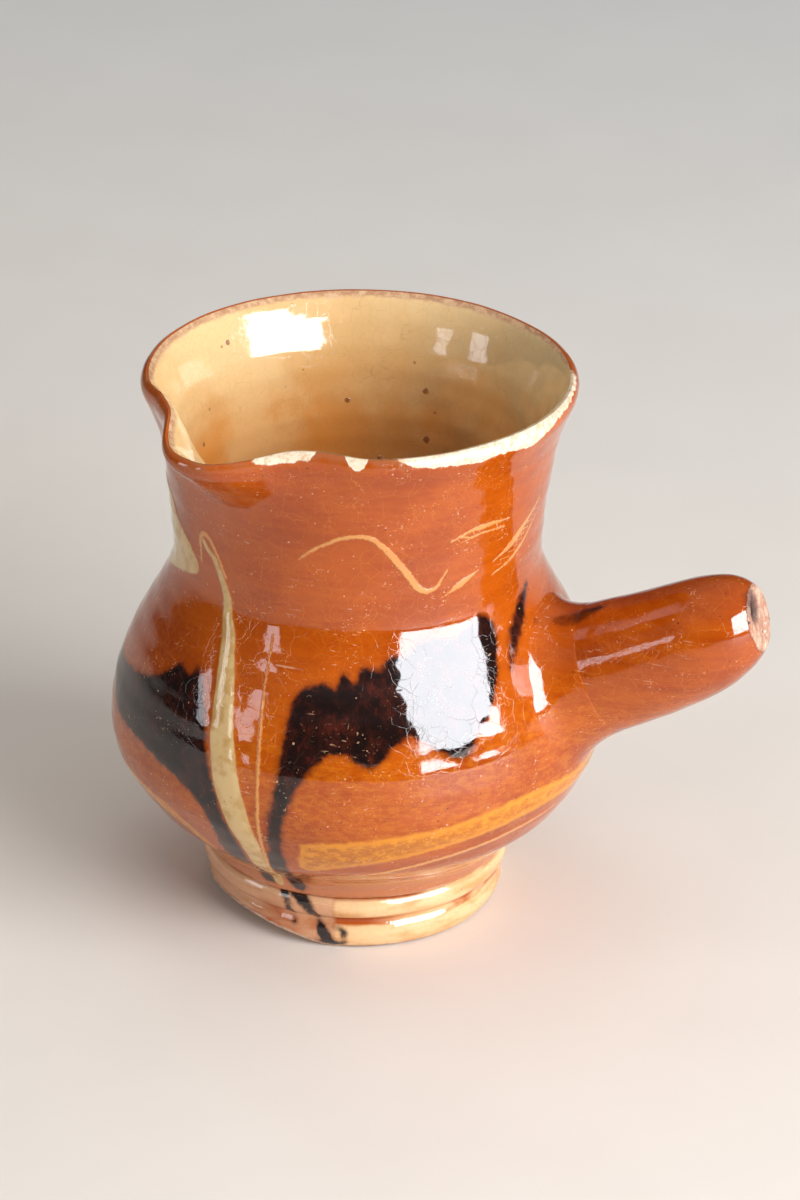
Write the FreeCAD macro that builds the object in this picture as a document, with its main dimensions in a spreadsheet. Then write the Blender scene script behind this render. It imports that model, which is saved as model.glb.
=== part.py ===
"""Side-handled pouring pitcher in glazed red earthenware, 130 mm tall.

The pot is built the way a potter builds it.  A red clay wall is thrown in one piece, from the
floor to the rim, and its rim is pulled out into a pouring lip.  A ribbed foot ring is luted under
the floor.  The handle is a second, small thrown form: a hollow stub, closed at its round end, with
a vent that lets the air out in the kiln, and a collar of soft clay welds its root to the belly.
Slip goes on last: cream slip lines the inside and laps over the rim, and cream, ochre and black
slips decorate the outside.

Millimetres.  +Z is up, the origin is on the pot's axis at the level it stands on, and +X points
the way the handle does.
"""

import FreeCAD, Part

import math
import os

import Sketcher
from FreeCAD import Placement, Rotation, Vector

DRIVING_SIZES = [
    ("total_height", 130.0, "from the table to the crest of the clay rim"),
    ("foot_height", 14.0, "foot ring, up to the underside of the floor"),
    ("foot_bore_radius", 25.0, "recess under the pot"),
    ("foot_top_radius", 35.6, "where the belly starts, on top of the foot"),
    ("rib_curve", 7.0, "rounding of the foot's two ribs"),
    ("low_rib_centre", 27.7, "radius of the lower rib's centre of rounding"),
    ("low_rib_level", 3.6, "height of the lower rib's middle"),
    ("high_rib_centre", 29.0, "radius of the upper rib's centre of rounding"),
    ("high_rib_level", 10.9, "height of the upper rib's middle"),
    ("rib_step_level", 7.2, "height of the step between the ribs"),
    ("low_band_bottom", 1.4, "lower edge of the slip on the lower rib"),
    ("low_band_top", 6.2, "upper edge of the slip on the lower rib"),
    ("high_band_bottom", 8.4, "lower edge of the slip on the upper rib"),
    ("high_band_top", 13.2, "upper edge of the slip on the upper rib"),
    ("band_start", 286.0, "direction where the cream bands on the foot start, degrees"),
    ("band_turn", 336.0, "how far the cream bands on the foot run round, degrees"),
    ("belly_radius", 56.8, "widest part of the pot"),
    ("belly_level", 47.0, "height of the widest part"),
    ("neck_radius", 41.8, "narrowest part, where belly turns into neck"),
    ("neck_level", 86.0, "height of the narrowest part"),
    ("rim_radius", 49.3, "outside of the rim"),
    ("wall", 4.3, "clay wall of belly and neck"),
    ("rim_wall", 3.6, "clay wall at the rim"),
    ("floor_thickness", 6.0, "clay floor"),
    ("floor_radius", 22.0, "flat part of the floor inside"),
    ("lip_angle", 252.0, "direction of the pouring lip, from the handle, degrees"),
    ("lip_reach", 10.2, "how far the lip is pulled out"),
    ("lip_drop", 3.2, "how far the lip dips below the rim"),
    ("lip_spread", 13.0, "half-width of the lip, degrees"),
    ("lip_pinch", 1.0, "how far the rim is pressed in at both sides of the lip"),
    ("lip_throat", 98.0, "height where the lip's throat begins"),
    ("handle_rise", 23.5, "slope of the handle above the horizontal, degrees"),
    ("handle_level", 41.4, "height where the handle's line crosses the pot's axis"),
    ("handle_root", 46.0, "start of the thrown stub, along the handle from the pot's axis"),
    ("handle_waist", 75.0, "narrowest part of the stub, along the handle"),
    ("handle_dome", 92.0, "start of the stub's round end, along the handle"),
    ("handle_root_radius", 15.6, "stub at its root"),
    ("handle_waist_radius", 13.2, "stub at its narrowest"),
    ("handle_end_radius", 13.0, "stub at its round end"),
    ("handle_bore_radius", 8.2, "hollow inside the stub"),
    ("handle_bore_shoulder", 91.0, "where the hollow starts to close, along the handle"),
    ("handle_bore_end", 98.0, "end of the hollow, along the handle"),
    ("vent_radius", 1.2, "vent in the round end"),
    ("collar_radius", 21.0, "clay collar where it spreads on the belly"),
    ("collar_start", 44.0, "widest end of the collar, along the handle"),
    ("collar_end", 69.0, "thin end of the collar, along the handle"),
    ("collar_end_radius", 14.0, "collar at its thin end"),
    ("collar_curve", 80.0, "hollow rounding of the collar's flank"),
    ("slip", 0.4, "thickness of a coat of slip"),
    ("gap", 0.03, "space left between a coat and the clay under it"),
    ("belt_low", 31.0, "lower edge of the ochre belt"),
    ("belt_high", 42.5, "upper edge of the ochre belt"),
    ("belt_start", 277.0, "direction where the ochre belt starts, degrees"),
    ("belt_turn", 328.0, "how far the ochre belt runs round, degrees"),
    ("drip_start", 264.0, "direction where the drips on the foot start, degrees"),
    ("drip_turn", 20.0, "how far the drips on the foot spread, degrees"),
]

POLES_AROUND = 72      # poles of the thrown skins in one turn
OUTSIDE_SAMPLES = 16   # steps of an outline offset from the gentle outside of the wall
INSIDE_SAMPLES = 60    # steps of an outline offset from the inside, crowded at the crest of the rim
CREST_CROWDING = 2     # how strongly those steps are crowded
STEPS_PER_STATION = 2  # steps along a stroke or a patch of slip for each of its stations
ACROSS = (-1.0, -0.5, 0.0, 0.5, 1.0)   # places across a stroke or a patch, from edge to edge
BISECTIONS = 40        # halvings that find a height on the wall's outline

doc = FreeCAD.newDocument("Pitcher")
sheet = doc.addObject("Spreadsheet::Sheet", "Sizes")
for row, (alias, value, note) in enumerate(DRIVING_SIZES, start=1):
    sheet.set(f"A{row}", alias)
    sheet.set(f"B{row}", str(value))
    sheet.setAlias(f"B{row}", alias)
    sheet.set(f"C{row}", note)
doc.recompute()


def size(alias):
    """The value of one driving dimension, read from the sheet."""
    return float(sheet.get(alias))


# ---- outlines of the thrown wall, as (radius, height) -------------------------------------------

def outside_outline():
    """Outside of the wall, from the top of the foot up to the outside of the rim."""
    belly, belly_level = size("belly_radius"), size("belly_level")
    neck, neck_level = size("neck_radius"), size("neck_level")
    foot, foot_level = size("foot_top_radius"), size("foot_height")
    rim, top = size("rim_radius"), size("total_height")
    under = belly_level - foot_level     # height of the under-belly
    over = neck_level - belly_level      # height of the shoulder
    neck_rise = top - neck_level
    return [
        (foot, foot_level),
        (foot + 0.15 * (belly - foot), foot_level + 0.16 * under),
        (foot + 0.60 * (belly - foot), foot_level + 0.42 * under),
        (foot + 0.91 * (belly - foot), foot_level + 0.72 * under),
        (belly, belly_level),
        (neck + 0.82 * (belly - neck), belly_level + 0.33 * over),
        (neck + 0.50 * (belly - neck), belly_level + 0.61 * over),
        (neck + 0.16 * (belly - neck), belly_level + 0.84 * over),
        (neck, neck_level),
        (neck + 0.17 * (rim - neck), neck_level + 0.42 * neck_rise),
        (neck + 0.50 * (rim - neck), neck_level + 0.74 * neck_rise),
        (rim - 0.4, top - 3.6),
        (rim, top - 2.0),
    ]


def inside_outline():
    """Inside of the wall, from the inside of the rim down to the flat of the floor."""
    wall, rim_wall, top = size("wall"), size("rim_wall"), size("total_height")
    outside = outside_outline()
    inner = [(size("rim_radius") - rim_wall, top - 1.6)]
    inner += [(radius - wall, level) for radius, level in reversed(outside[3:11])]
    floor_level = size("foot_height") + size("floor_thickness")
    inner += [
        (size("foot_top_radius") + 3.4, floor_level + 5.2),
        (size("floor_radius") + 8.0, floor_level + 0.7),
        (size("floor_radius"), floor_level),
    ]
    return inner


def rim_crest():
    """Top of the rounded rim, between its outside and its inside."""
    rim, rim_wall, top = size("rim_radius"), size("rim_wall"), size("total_height")
    return [(rim - 0.22 * rim_wall, top - 0.35), (rim - 0.52 * rim_wall, top)]


def smooth_curve(points):
    """Spline through (radius, height) points, drawn in the XZ plane."""
    curve = Part.BSplineCurve()
    curve.interpolate([Vector(radius, 0, level) for radius, level in points])
    return curve


def nearest_parameter(curve, radius, level):
    return curve.parameter(Vector(radius, 0, level))


def beside(curve, first, last, distance, samples=OUTSIDE_SAMPLES, crowding=1):
    """Spline that runs beside part of a curve, that far to the right of its direction of travel.

    A crowding above 1 sets its points closer together near the first end.
    """
    points = []
    for index in range(samples + 1):
        parameter = first + (last - first) * (index / samples) ** crowding
        along = curve.tangent(parameter)[0] * (1 if last > first else -1)
        place = curve.value(parameter)
        points.append((place.x + along.z * distance, place.z - along.x * distance))
    return smooth_curve(points)


# ---- skins: a profile swept round the axis, with the pouring lip pulled out ----------------------

def lip_pull(angle):
    """Share of the lip's pull at a direction in degrees: 1 at the lip, below 0 where it is pinched."""
    away = abs((angle - size("lip_angle") + 180.0) % 360.0 - 180.0) / size("lip_spread")
    pinch = size("lip_pinch") / size("lip_reach")
    return math.exp(-away ** 2) - pinch * math.exp(-((away - 2.3) / 0.9) ** 2)


def lip_share(level):
    """Share of the lip's pull at a height: none at the throat's start, all of it at the rim."""
    throat = size("lip_throat")
    share = min(1.0, max(0.0, (level - throat) / (size("total_height") - throat)))
    return share ** 2


def skin(profile):
    """Closed tube of the profile turned round Z, as one surface that is periodic round the pot."""
    step = 2.0 * math.pi / POLES_AROUND
    inside_poles = 3.0 / (2.0 + math.cos(step))   # a cubic ring runs inside its poles
    rows = []
    for index in range(POLES_AROUND):
        angle = index * step
        pull = lip_pull(math.degrees(angle))
        row = []
        for pole in profile.getPoles():
            share = pull * lip_share(pole.z)
            radius = (pole.x + size("lip_reach") * share) * inside_poles
            level = pole.z - size("lip_drop") * share
            row.append(Vector(radius * math.cos(angle), radius * math.sin(angle), level))
        rows.append(row)
    surface = Part.BSplineSurface()
    surface.buildFromPolesMultsKnots(
        rows,
        [1] * (POLES_AROUND + 1),
        profile.getMultiplicities(),
        [float(knot) for knot in range(POLES_AROUND + 1)],
        profile.getKnots(),
        True,
        False,
        3,
        profile.Degree,
    )
    return surface.toShape()


def end_edges(face):
    """The two closed edges of a skin, lowest first."""
    closed = [edge for edge in face.Edges if edge.isClosed() and not edge.isSeam(face)]
    return sorted(closed, key=lambda edge: edge.CenterOfMass.z)


def disc(edge):
    """Flat face that fills one closed edge."""
    return Part.Face(Part.Wire([edge]))


def solid_of(faces):
    """Solid that the faces enclose, turned outside out."""
    shell = Part.makeShell(faces)
    shell.sewShape()
    solid = Part.Solid(shell)
    if solid.Volume < 0:
        solid.reverse()
    return solid


def feature(name, shape, placement=None):
    """Sub-part whose shape is computed here."""
    piece = doc.addObject("Part::Feature", name)
    piece.Label = name
    piece.Shape = shape
    if placement:
        piece.Placement = placement
    return piece


# ---- the thrown wall and its slip lining ---------------------------------------------------------

outside_points = outside_outline()
inside_points = inside_outline()
wall_profile = smooth_curve(outside_points + rim_crest() + inside_points)


def thrown_wall():
    face = skin(wall_profile)
    ends = end_edges(face)
    return solid_of([face] + [disc(edge) for edge in ends])


def slip_lining():
    """Cream slip poured in and out again: floor, inside and crest of the rim."""
    gap, slip = size("gap"), size("slip")
    first = nearest_parameter(wall_profile, *rim_crest()[0])
    last = wall_profile.LastParameter
    sampling = (INSIDE_SAMPLES, CREST_CROWDING)
    against_clay = skin(beside(wall_profile, first, last, gap, *sampling))
    against_water = skin(beside(wall_profile, first, last, gap + slip, *sampling))
    clay_ends, water_ends = end_edges(against_clay), end_edges(against_water)
    lapped_edge = Part.makeRuledSurface(clay_ends[1], water_ends[1])
    floor_faces = [disc(clay_ends[0]), disc(water_ends[0])]
    return solid_of([against_clay, against_water, lapped_edge] + floor_faces)


body_wall = feature("body_wall", thrown_wall())
slip_lining_piece = feature("slip_lining", slip_lining())


# ---- turned pieces: sketches revolved about their body's Z axis ----------------------------------

START, END, CENTRE = 1, 2, 3           # points of a sketched line or arc
ORIGIN = (-1, 1)                       # a sketch's own origin


def turned_body(name):
    """Body with an empty sketch on its XZ plane."""
    body = doc.addObject("PartDesign::Body", name)
    body.Label = name
    sketch = body.newObject("Sketcher::SketchObject", name + "_outline")
    plane = next(item for item in body.Origin.OriginFeatures if item.Role == "XZ_Plane")
    sketch.AttachmentSupport = [(plane, "")]
    sketch.MapMode = "FlatFace"
    return body, sketch


def bind(sketch, constraint, expression):
    """Add a sized constraint and tie it to the sheet."""
    index = sketch.addConstraint(constraint)
    sketch.setExpression(f"Constraints[{index}]", expression)


def pin(sketch, geometry, point, radius=None, level=None):
    """Tie one point of a line or arc to a radius and a height on the sheet."""
    if radius:
        across = Sketcher.Constraint("DistanceX", *ORIGIN, geometry, point, size(radius))
        bind(sketch, across, "Sizes." + radius)
    if level:
        upward = Sketcher.Constraint("DistanceY", *ORIGIN, geometry, point, size(level))
        bind(sketch, upward, "Sizes." + level)


def line(sketch, start, end):
    return sketch.addGeometry(Part.LineSegment(Vector(*start, 0), Vector(*end, 0)))


def arc(sketch, centre, radius, start, end):
    """Arc from one direction to another, anticlockwise, in degrees."""
    circle = Part.Circle(Vector(*centre, 0), Vector(0, 0, 1), radius)
    return sketch.addGeometry(Part.ArcOfCircle(circle, math.radians(start), math.radians(end)))


def join(sketch, loop):
    """Close a loop of (geometry, first point, last point)."""
    for (here, _, leaving), (there, arriving, _) in zip(loop, loop[1:] + loop[:1]):
        sketch.addConstraint(Sketcher.Constraint("Coincident", here, leaving, there, arriving))


def revolve(body, sketch, turn=None):
    """Turn the sketch round the body's axis, all the way or by an angle on the sheet."""
    doc.recompute()
    turned = body.newObject("PartDesign::Revolution", body.Name + "_turned")
    turned.Profile = sketch
    turned.ReferenceAxis = (sketch, ["V_Axis"])
    turned.Angle = 360.0
    if turn:
        turned.setExpression("Angle", "Sizes." + turn)
    sketch.Visibility = False
    doc.recompute()
    return body


def height_on_rib(level, rib_level):
    """Direction from a rib's centre of rounding to a height on the rib, in degrees."""
    return math.degrees(math.asin((level - size(rib_level)) / size("rib_curve")))


def foot_ring():
    """Ring that the pot stands on, with two rounded ribs and a step between them."""
    body, sketch = turned_body("foot_ring")
    bore, top, step = size("foot_bore_radius"), size("foot_height"), size("rib_step_level")
    low = (size("low_rib_centre"), size("low_rib_level"))
    high = (size("high_rib_centre"), size("high_rib_level"))
    curve = size("rib_curve")
    under = line(sketch, (bore, 0), (low[0] + curve, 0))
    low_rib = arc(sketch, low, curve, height_on_rib(0, "low_rib_level"), height_on_rib(step, "low_rib_level"))
    ledge = line(sketch, (low[0] + curve, step), (high[0] + curve, step))
    foot_of_high, top_of_high = (height_on_rib(level, "high_rib_level") for level in (step, top))
    high_rib = arc(sketch, high, curve, foot_of_high, top_of_high)
    over = line(sketch, (high[0] + curve, top), (bore, top))
    recess = line(sketch, (bore, top), (bore, 0))
    join(sketch, [(item, START, END) for item in (under, low_rib, ledge, high_rib, over, recess)])
    for item in (under, ledge, over):
        sketch.addConstraint(Sketcher.Constraint("Horizontal", item))
    sketch.addConstraint(Sketcher.Constraint("Vertical", recess))
    sketch.addConstraint(Sketcher.Constraint("PointOnObject", under, START, -1))
    pin(sketch, under, START, radius="foot_bore_radius")
    pin(sketch, ledge, START, level="rib_step_level")
    pin(sketch, over, START, level="foot_height")
    for rib, centre, level in (
        (low_rib, "low_rib_centre", "low_rib_level"),
        (high_rib, "high_rib_centre", "high_rib_level"),
    ):
        pin(sketch, rib, CENTRE, centre, level)
        bind(sketch, Sketcher.Constraint("Radius", rib, curve), "Sizes.rib_curve")
    return revolve(body, sketch)


def rib_coat(name, rib, band, start, turn):
    """Coat of slip on one rib of the foot, from one direction round by an angle."""
    body, sketch = turned_body(name)
    rib_level = rib + "_rib_level"
    centre = (size(rib + "_rib_centre"), size(rib_level))
    bottom, top = size(band + "_bottom"), size(band + "_top")
    low, high = height_on_rib(bottom, rib_level), height_on_rib(top, rib_level)
    inner_curve = size("rib_curve") + size("gap")
    outer_curve = inner_curve + size("slip")
    outer = arc(sketch, centre, outer_curve, low, high)
    inner = arc(sketch, centre, inner_curve, low, high)
    lower_edge = line(sketch, (centre[0] + inner_curve, bottom), (centre[0] + outer_curve, bottom))
    upper_edge = line(sketch, (centre[0] + outer_curve, top), (centre[0] + inner_curve, top))
    join(sketch, [
        (lower_edge, START, END),
        (outer, START, END),
        (upper_edge, START, END),
        (inner, END, START),
    ])
    for edge, level in ((lower_edge, band + "_bottom"), (upper_edge, band + "_top")):
        sketch.addConstraint(Sketcher.Constraint("Horizontal", edge))
        pin(sketch, edge, START, level=level)
    for curved, radius, expression in (
        (inner, inner_curve, "Sizes.rib_curve + Sizes.gap"),
        (outer, outer_curve, "Sizes.rib_curve + Sizes.gap + Sizes.slip"),
    ):
        pin(sketch, curved, CENTRE, rib + "_rib_centre", rib_level)
        bind(sketch, Sketcher.Constraint("Radius", curved, radius), expression)
    revolve(body, sketch, turn)
    body.Placement = Placement(Vector(), Rotation(Vector(0, 0, 1), size(start)))
    return body


# ---- the handle and its collar, on the handle's own axis -----------------------------------------

along_handle = Placement(
    Vector(0, 0, size("handle_level")),
    Rotation(Vector(0, 1, 0), 90.0 - size("handle_rise")),
)


def stub():
    """Thrown stub: tapering, hollow, closed by a round end with a vent in it."""
    body, sketch = turned_body("thrown_stub")
    corners = [
        ("handle_bore_radius", "handle_root"),
        ("handle_root_radius", "handle_root"),
        ("handle_waist_radius", "handle_waist"),
        ("handle_end_radius", "handle_dome"),
    ]
    places = [(size(radius), size(level)) for radius, level in corners]
    flank = [line(sketch, here, there) for here, there in zip(places, places[1:])]
    centre = (0.0, size("handle_dome"))
    end_radius, vent = size("handle_end_radius"), size("vent_radius")
    vent_direction = math.degrees(math.acos(vent / end_radius))
    dome = arc(sketch, centre, end_radius, 0.0, vent_direction)
    closing = [
        (vent, size("handle_dome") + end_radius),
        (vent, size("handle_bore_end")),
        (size("handle_bore_radius"), size("handle_bore_shoulder")),
        places[0],
    ]
    inside = [line(sketch, here, there) for here, there in zip(closing, closing[1:])]
    join(sketch, [(item, START, END) for item in flank + [dome] + inside])
    for item, (radius, level) in zip(flank, corners):
        pin(sketch, item, START, radius, level)
    pin(sketch, dome, START, "handle_end_radius", "handle_dome")
    pin(sketch, dome, CENTRE, level="handle_dome")
    sketch.addConstraint(Sketcher.Constraint("PointOnObject", dome, CENTRE, -2))
    pin(sketch, inside[0], START, radius="vent_radius")
    pin(sketch, inside[1], START, "vent_radius", "handle_bore_end")
    pin(sketch, inside[2], START, "handle_bore_radius", "handle_bore_shoulder")
    revolve(body, sketch)
    body.Placement = along_handle
    return body


def flare():
    """Solid of the collar, before the stub and the belly are taken out of it."""
    body, sketch = turned_body("collar_flare")
    wide, thin = size("collar_radius"), size("collar_end_radius")
    first, last, curve = size("collar_start"), size("collar_end"), size("collar_curve")
    chord = math.hypot(wide - thin, last - first)
    lean = math.degrees(math.atan2(last - first, thin - wide))
    half = math.degrees(math.asin(chord / (2.0 * curve)))
    toward = math.radians(lean - 90.0)
    depth = math.sqrt(curve ** 2 - chord ** 2 / 4.0)
    centre = ((wide + thin) / 2.0 + depth * math.cos(toward), (first + last) / 2.0 + depth * math.sin(toward))
    under = line(sketch, (0, first), (wide, first))
    flank = arc(sketch, centre, curve, lean + 90.0 - half, lean + 90.0 + half)
    over = line(sketch, (thin, last), (0, last))
    middle = line(sketch, (0, last), (0, first))
    join(sketch, [(under, START, END), (flank, END, START), (over, START, END), (middle, START, END)])
    pin(sketch, under, END, "collar_radius", "collar_start")
    pin(sketch, over, START, "collar_end_radius", "collar_end")
    for item in (under, over):
        sketch.addConstraint(Sketcher.Constraint("Horizontal", item))
    sketch.addConstraint(Sketcher.Constraint("PointOnObject", middle, START, -2))
    sketch.addConstraint(Sketcher.Constraint("PointOnObject", middle, END, -2))
    bind(sketch, Sketcher.Constraint("Radius", flank, curve), "Sizes.collar_curve")
    revolve(body, sketch)
    body.Placement = along_handle
    return body


def stub_space():
    """Cone that the stub fills inside its collar."""
    cone = doc.addObject("Part::Cone", "stub_space")
    cone.setExpression("Radius1", "Sizes.handle_root_radius + Sizes.gap")
    cone.setExpression("Radius2", "Sizes.handle_waist_radius + Sizes.gap")
    cone.setExpression("Height", "Sizes.handle_waist - Sizes.handle_root")
    root = along_handle.multVec(Vector(0, 0, size("handle_root")))
    cone.Placement = Placement(root, along_handle.Rotation)
    return cone


def cut(name, base, tool):
    """Part::Cut, checked to have taken something off or left everything."""
    piece = doc.addObject("Part::Cut", name)
    piece.Label = name
    piece.Base = base
    piece.Tool = tool
    doc.recompute()
    return piece


# ---- coats of slip on the belly and the neck -----------------------------------------------------

def parameter_at(level):
    """Where the outside of the wall passes a height."""
    low = wall_profile.FirstParameter
    high = nearest_parameter(wall_profile, *outside_points[-1])
    for _ in range(BISECTIONS):
        middle = (low + high) / 2.0
        if wall_profile.value(middle).z < level:
            low = middle
        else:
            high = middle
    return low


def turned_strip(low, high, turn):
    """Thin coat on the outside of the wall between two heights, from +X round by an angle."""
    gap, slip = size("gap"), size("slip")
    first, last = parameter_at(low), parameter_at(high)
    near = beside(wall_profile, first, last, gap)
    far = beside(wall_profile, first, last, gap + slip)
    edges = [
        near.toShape(),
        Part.makeLine(near.EndPoint, far.EndPoint),
        far.toShape(),
        Part.makeLine(far.StartPoint, near.StartPoint),
    ]
    section = Part.Face(Part.Wire(Part.sortEdges(edges)[0]))
    return section.revolve(Vector(), Vector(0, 0, 1), turn)


def belly_space():
    """Everything inside the outside of the wall, up to the neck."""
    first, last = parameter_at(size("foot_height")), parameter_at(size("lip_throat"))
    outside = beside(wall_profile, first, last, size("gap"))
    low, high = outside.StartPoint, outside.EndPoint
    edges = [
        outside.toShape(),
        Part.makeLine(high, Vector(0, 0, high.z)),
        Part.makeLine(Vector(0, 0, high.z), Vector(0, 0, low.z)),
        Part.makeLine(Vector(0, 0, low.z), low),
    ]
    section = Part.Face(Part.Wire(Part.sortEdges(edges)[0]))
    return section.revolve(Vector(), Vector(0, 0, 1), 360.0)


def off_wall(angle, level, distance):
    """Spot that far off the outside of the wall, at a direction and a height."""
    parameter = parameter_at(level)
    along = wall_profile.tangent(parameter)[0]
    place = wall_profile.value(parameter)
    radius, height = place.x + along.z * distance, place.z - along.x * distance
    turn = math.radians(angle)
    return Vector(radius * math.cos(turn), radius * math.sin(turn), height)


def surface_through(grid):
    surface = Part.BSplineSurface()
    surface.interpolate(grid)
    return surface


def coat_over(places):
    """Thin solid of slip over a grid of (direction, height) places on the outside of the wall."""
    gap, slip = size("gap"), size("slip")
    near = surface_through([[off_wall(angle, level, gap) for angle, level in row] for row in places])
    far = surface_through([[off_wall(angle, level, gap + slip) for angle, level in row] for row in places])
    rims = []
    for surface in (near, far):
        u_first, u_last, v_first, v_last = surface.bounds()
        isolines = [surface.uIso(u_first), surface.uIso(u_last), surface.vIso(v_first), surface.vIso(v_last)]
        rims.append([curve.toShape() for curve in isolines])
    sides = [Part.makeRuledSurface(inner, outer) for inner, outer in zip(*rims)]
    return solid_of([near.toShape(), far.toShape()] + sides)


def along_spline(stations):
    """Evenly spaced points of the spline through some stations."""
    path = Part.BSplineCurve()
    path.interpolate([Vector(*station) for station in stations])
    first, last = path.FirstParameter, path.LastParameter
    steps = len(stations) * STEPS_PER_STATION
    parameters = [first + (last - first) * index / steps for index in range(steps + 1)]
    return [(path.value(parameter), path.tangent(parameter)[0]) for parameter in parameters]


def stroke(stations):
    """Grid of a brushed or trailed stroke through (direction, height, half-width) stations."""
    degree = math.radians(size("belly_radius"))          # millimetres in a degree of turn
    places = []
    for centre, along in along_spline([(angle * degree, level, half) for angle, level, half in stations]):
        length = math.hypot(along.x, along.y)
        across = (along.y / length * centre.z, -along.x / length * centre.z)
        places.append([
            ((centre.x + share * across[0]) / degree, centre.y + share * across[1]) for share in ACROSS
        ])
    return places


def patch(stations):
    """Grid of a broad patch through (direction, lower edge, upper edge) stations."""
    places = []
    for station, _ in along_spline(stations):
        middle, half = (station.y + station.z) / 2.0, (station.z - station.y) / 2.0
        places.append([(station.x, middle + share * half) for share in ACROSS])
    return places


# Strokes of cream slip: stations of (direction in degrees, height, half-width).
STROKES = {
    "cream_trail_wide": [
        (236, 99.5, 0.5), (241, 95, 0.8), (245, 88, 1.2), (249, 79, 1.8), (253, 70, 2.4), (256, 60, 2.8),
        (259, 50, 2.9), (261.5, 40, 2.8), (262.5, 31, 2.3), (262, 23, 1.4),
    ],
    "cream_trail_thin": [
        (264, 82, 0.5), (264, 75, 0.8), (265.5, 66, 0.9), (267, 55, 0.8), (267.5, 48, 0.5),
    ],
    "cream_smear_neck": [
        (207, 92, 1.5), (215, 95, 2.8), (224, 95, 2.8), (229, 91, 1.5),
    ],
    "neck_curl": [
        (274, 105, 0.6), (282, 108.5, 0.8), (290, 110, 0.8), (297, 106.5, 0.8), (303, 100, 0.7),
        (308, 95.5, 0.6), (312, 94.5, 0.5), (316, 96.5, 0.4),
    ],
    "neck_brush_mark_high": [
        (320, 106.5, 0.6), (327, 107.5, 1.4), (336, 107, 0.6),
    ],
    "neck_brush_mark_low": [
        (335, 97.5, 0.6), (342, 99, 1.4), (348, 101, 1.4), (354, 104, 0.6),
    ],
    "neck_dash": [
        (320, 92.5, 0.5), (322, 95, 0.8), (326, 96.5, 0.5),
    ],
}

# Patches of black slip: stations of (direction in degrees, lower edge, upper edge).
PATCHES = {
    "black_patch_left": [
        (192, 55.5, 57), (199, 52, 60), (214, 51, 63), (226, 50, 66), (238, 48.5, 70), (245, 45, 70),
        (249, 40.5, 64), (253, 33, 51), (256, 27, 34),
    ],
    "black_patch_right": [
        (268.5, 27, 38), (270, 30, 54), (272, 38, 67), (275, 51, 73), (280, 59.5, 74.5), (285, 60, 76),
        (291, 59, 78), (297, 61.5, 80), (303, 64, 81.5), (309, 61, 83), (315, 60.5, 82), (322, 64, 80.7),
        (331, 72.5, 79.8), (339, 76, 81), (345, 79, 81.5),
    ],
}

# ---- the pot --------------------------------------------------------------------------------------

foot = foot_ring()
space = feature("belly_space", belly_space())
handle = cut("handle", stub(), space)
collar = cut("handle_collar", cut("flare_around_stub", flare(), stub_space()), space)

belt = feature(
    "ochre_slip_belt",
    turned_strip(size("belt_low"), size("belt_high"), size("belt_turn")),
    Placement(Vector(), Rotation(Vector(0, 0, 1), size("belt_start"))),
)
marks = [feature(name, coat_over(stroke(stations))) for name, stations in STROKES.items()]
marks += [feature(name, coat_over(patch(stations))) for name, stations in PATCHES.items()]
rib_coats = [
    rib_coat("cream_band_low", "low", "low_band", "band_start", "band_turn"),
    rib_coat("cream_band_high", "high", "high_band", "band_start", "band_turn"),
    rib_coat("black_drips_low", "low", "low_band", "drip_start", "drip_turn"),
    rib_coat("black_drips_high", "high", "high_band", "drip_start", "drip_turn"),
]
doc.recompute()

pieces = [body_wall, slip_lining_piece, foot, handle, collar, belt]
pieces += marks + rib_coats

for item in doc.Objects:
    faults = {"Invalid", "Error"} & set(item.State)
    if faults:
        raise RuntimeError(f"{item.Name}: {faults}")
for piece in pieces:
    if piece.Shape.isNull() or not piece.Shape.isValid() or not piece.Shape.Solids:
        raise RuntimeError(f"{piece.Label} is not a sound solid")

os.makedirs("parts", exist_ok=True)
for piece in pieces:
    piece.Shape.exportStep(f"parts/{piece.Label}.step")
    print(f"{piece.Label:22} {piece.Shape.Volume / 1000.0:8.3f} cm3, {len(piece.Shape.Solids)} solid")
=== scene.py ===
# %% [markdown]
# A small pitcher thrown in red clay, with a stub handle, trailed slip and a clear amber glaze.
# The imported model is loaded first: it fixes where every piece goes and how big it is.

# %% Load the frame
import math

import bmesh
import bpy
import numpy as np
from mathutils import Matrix, Vector


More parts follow.
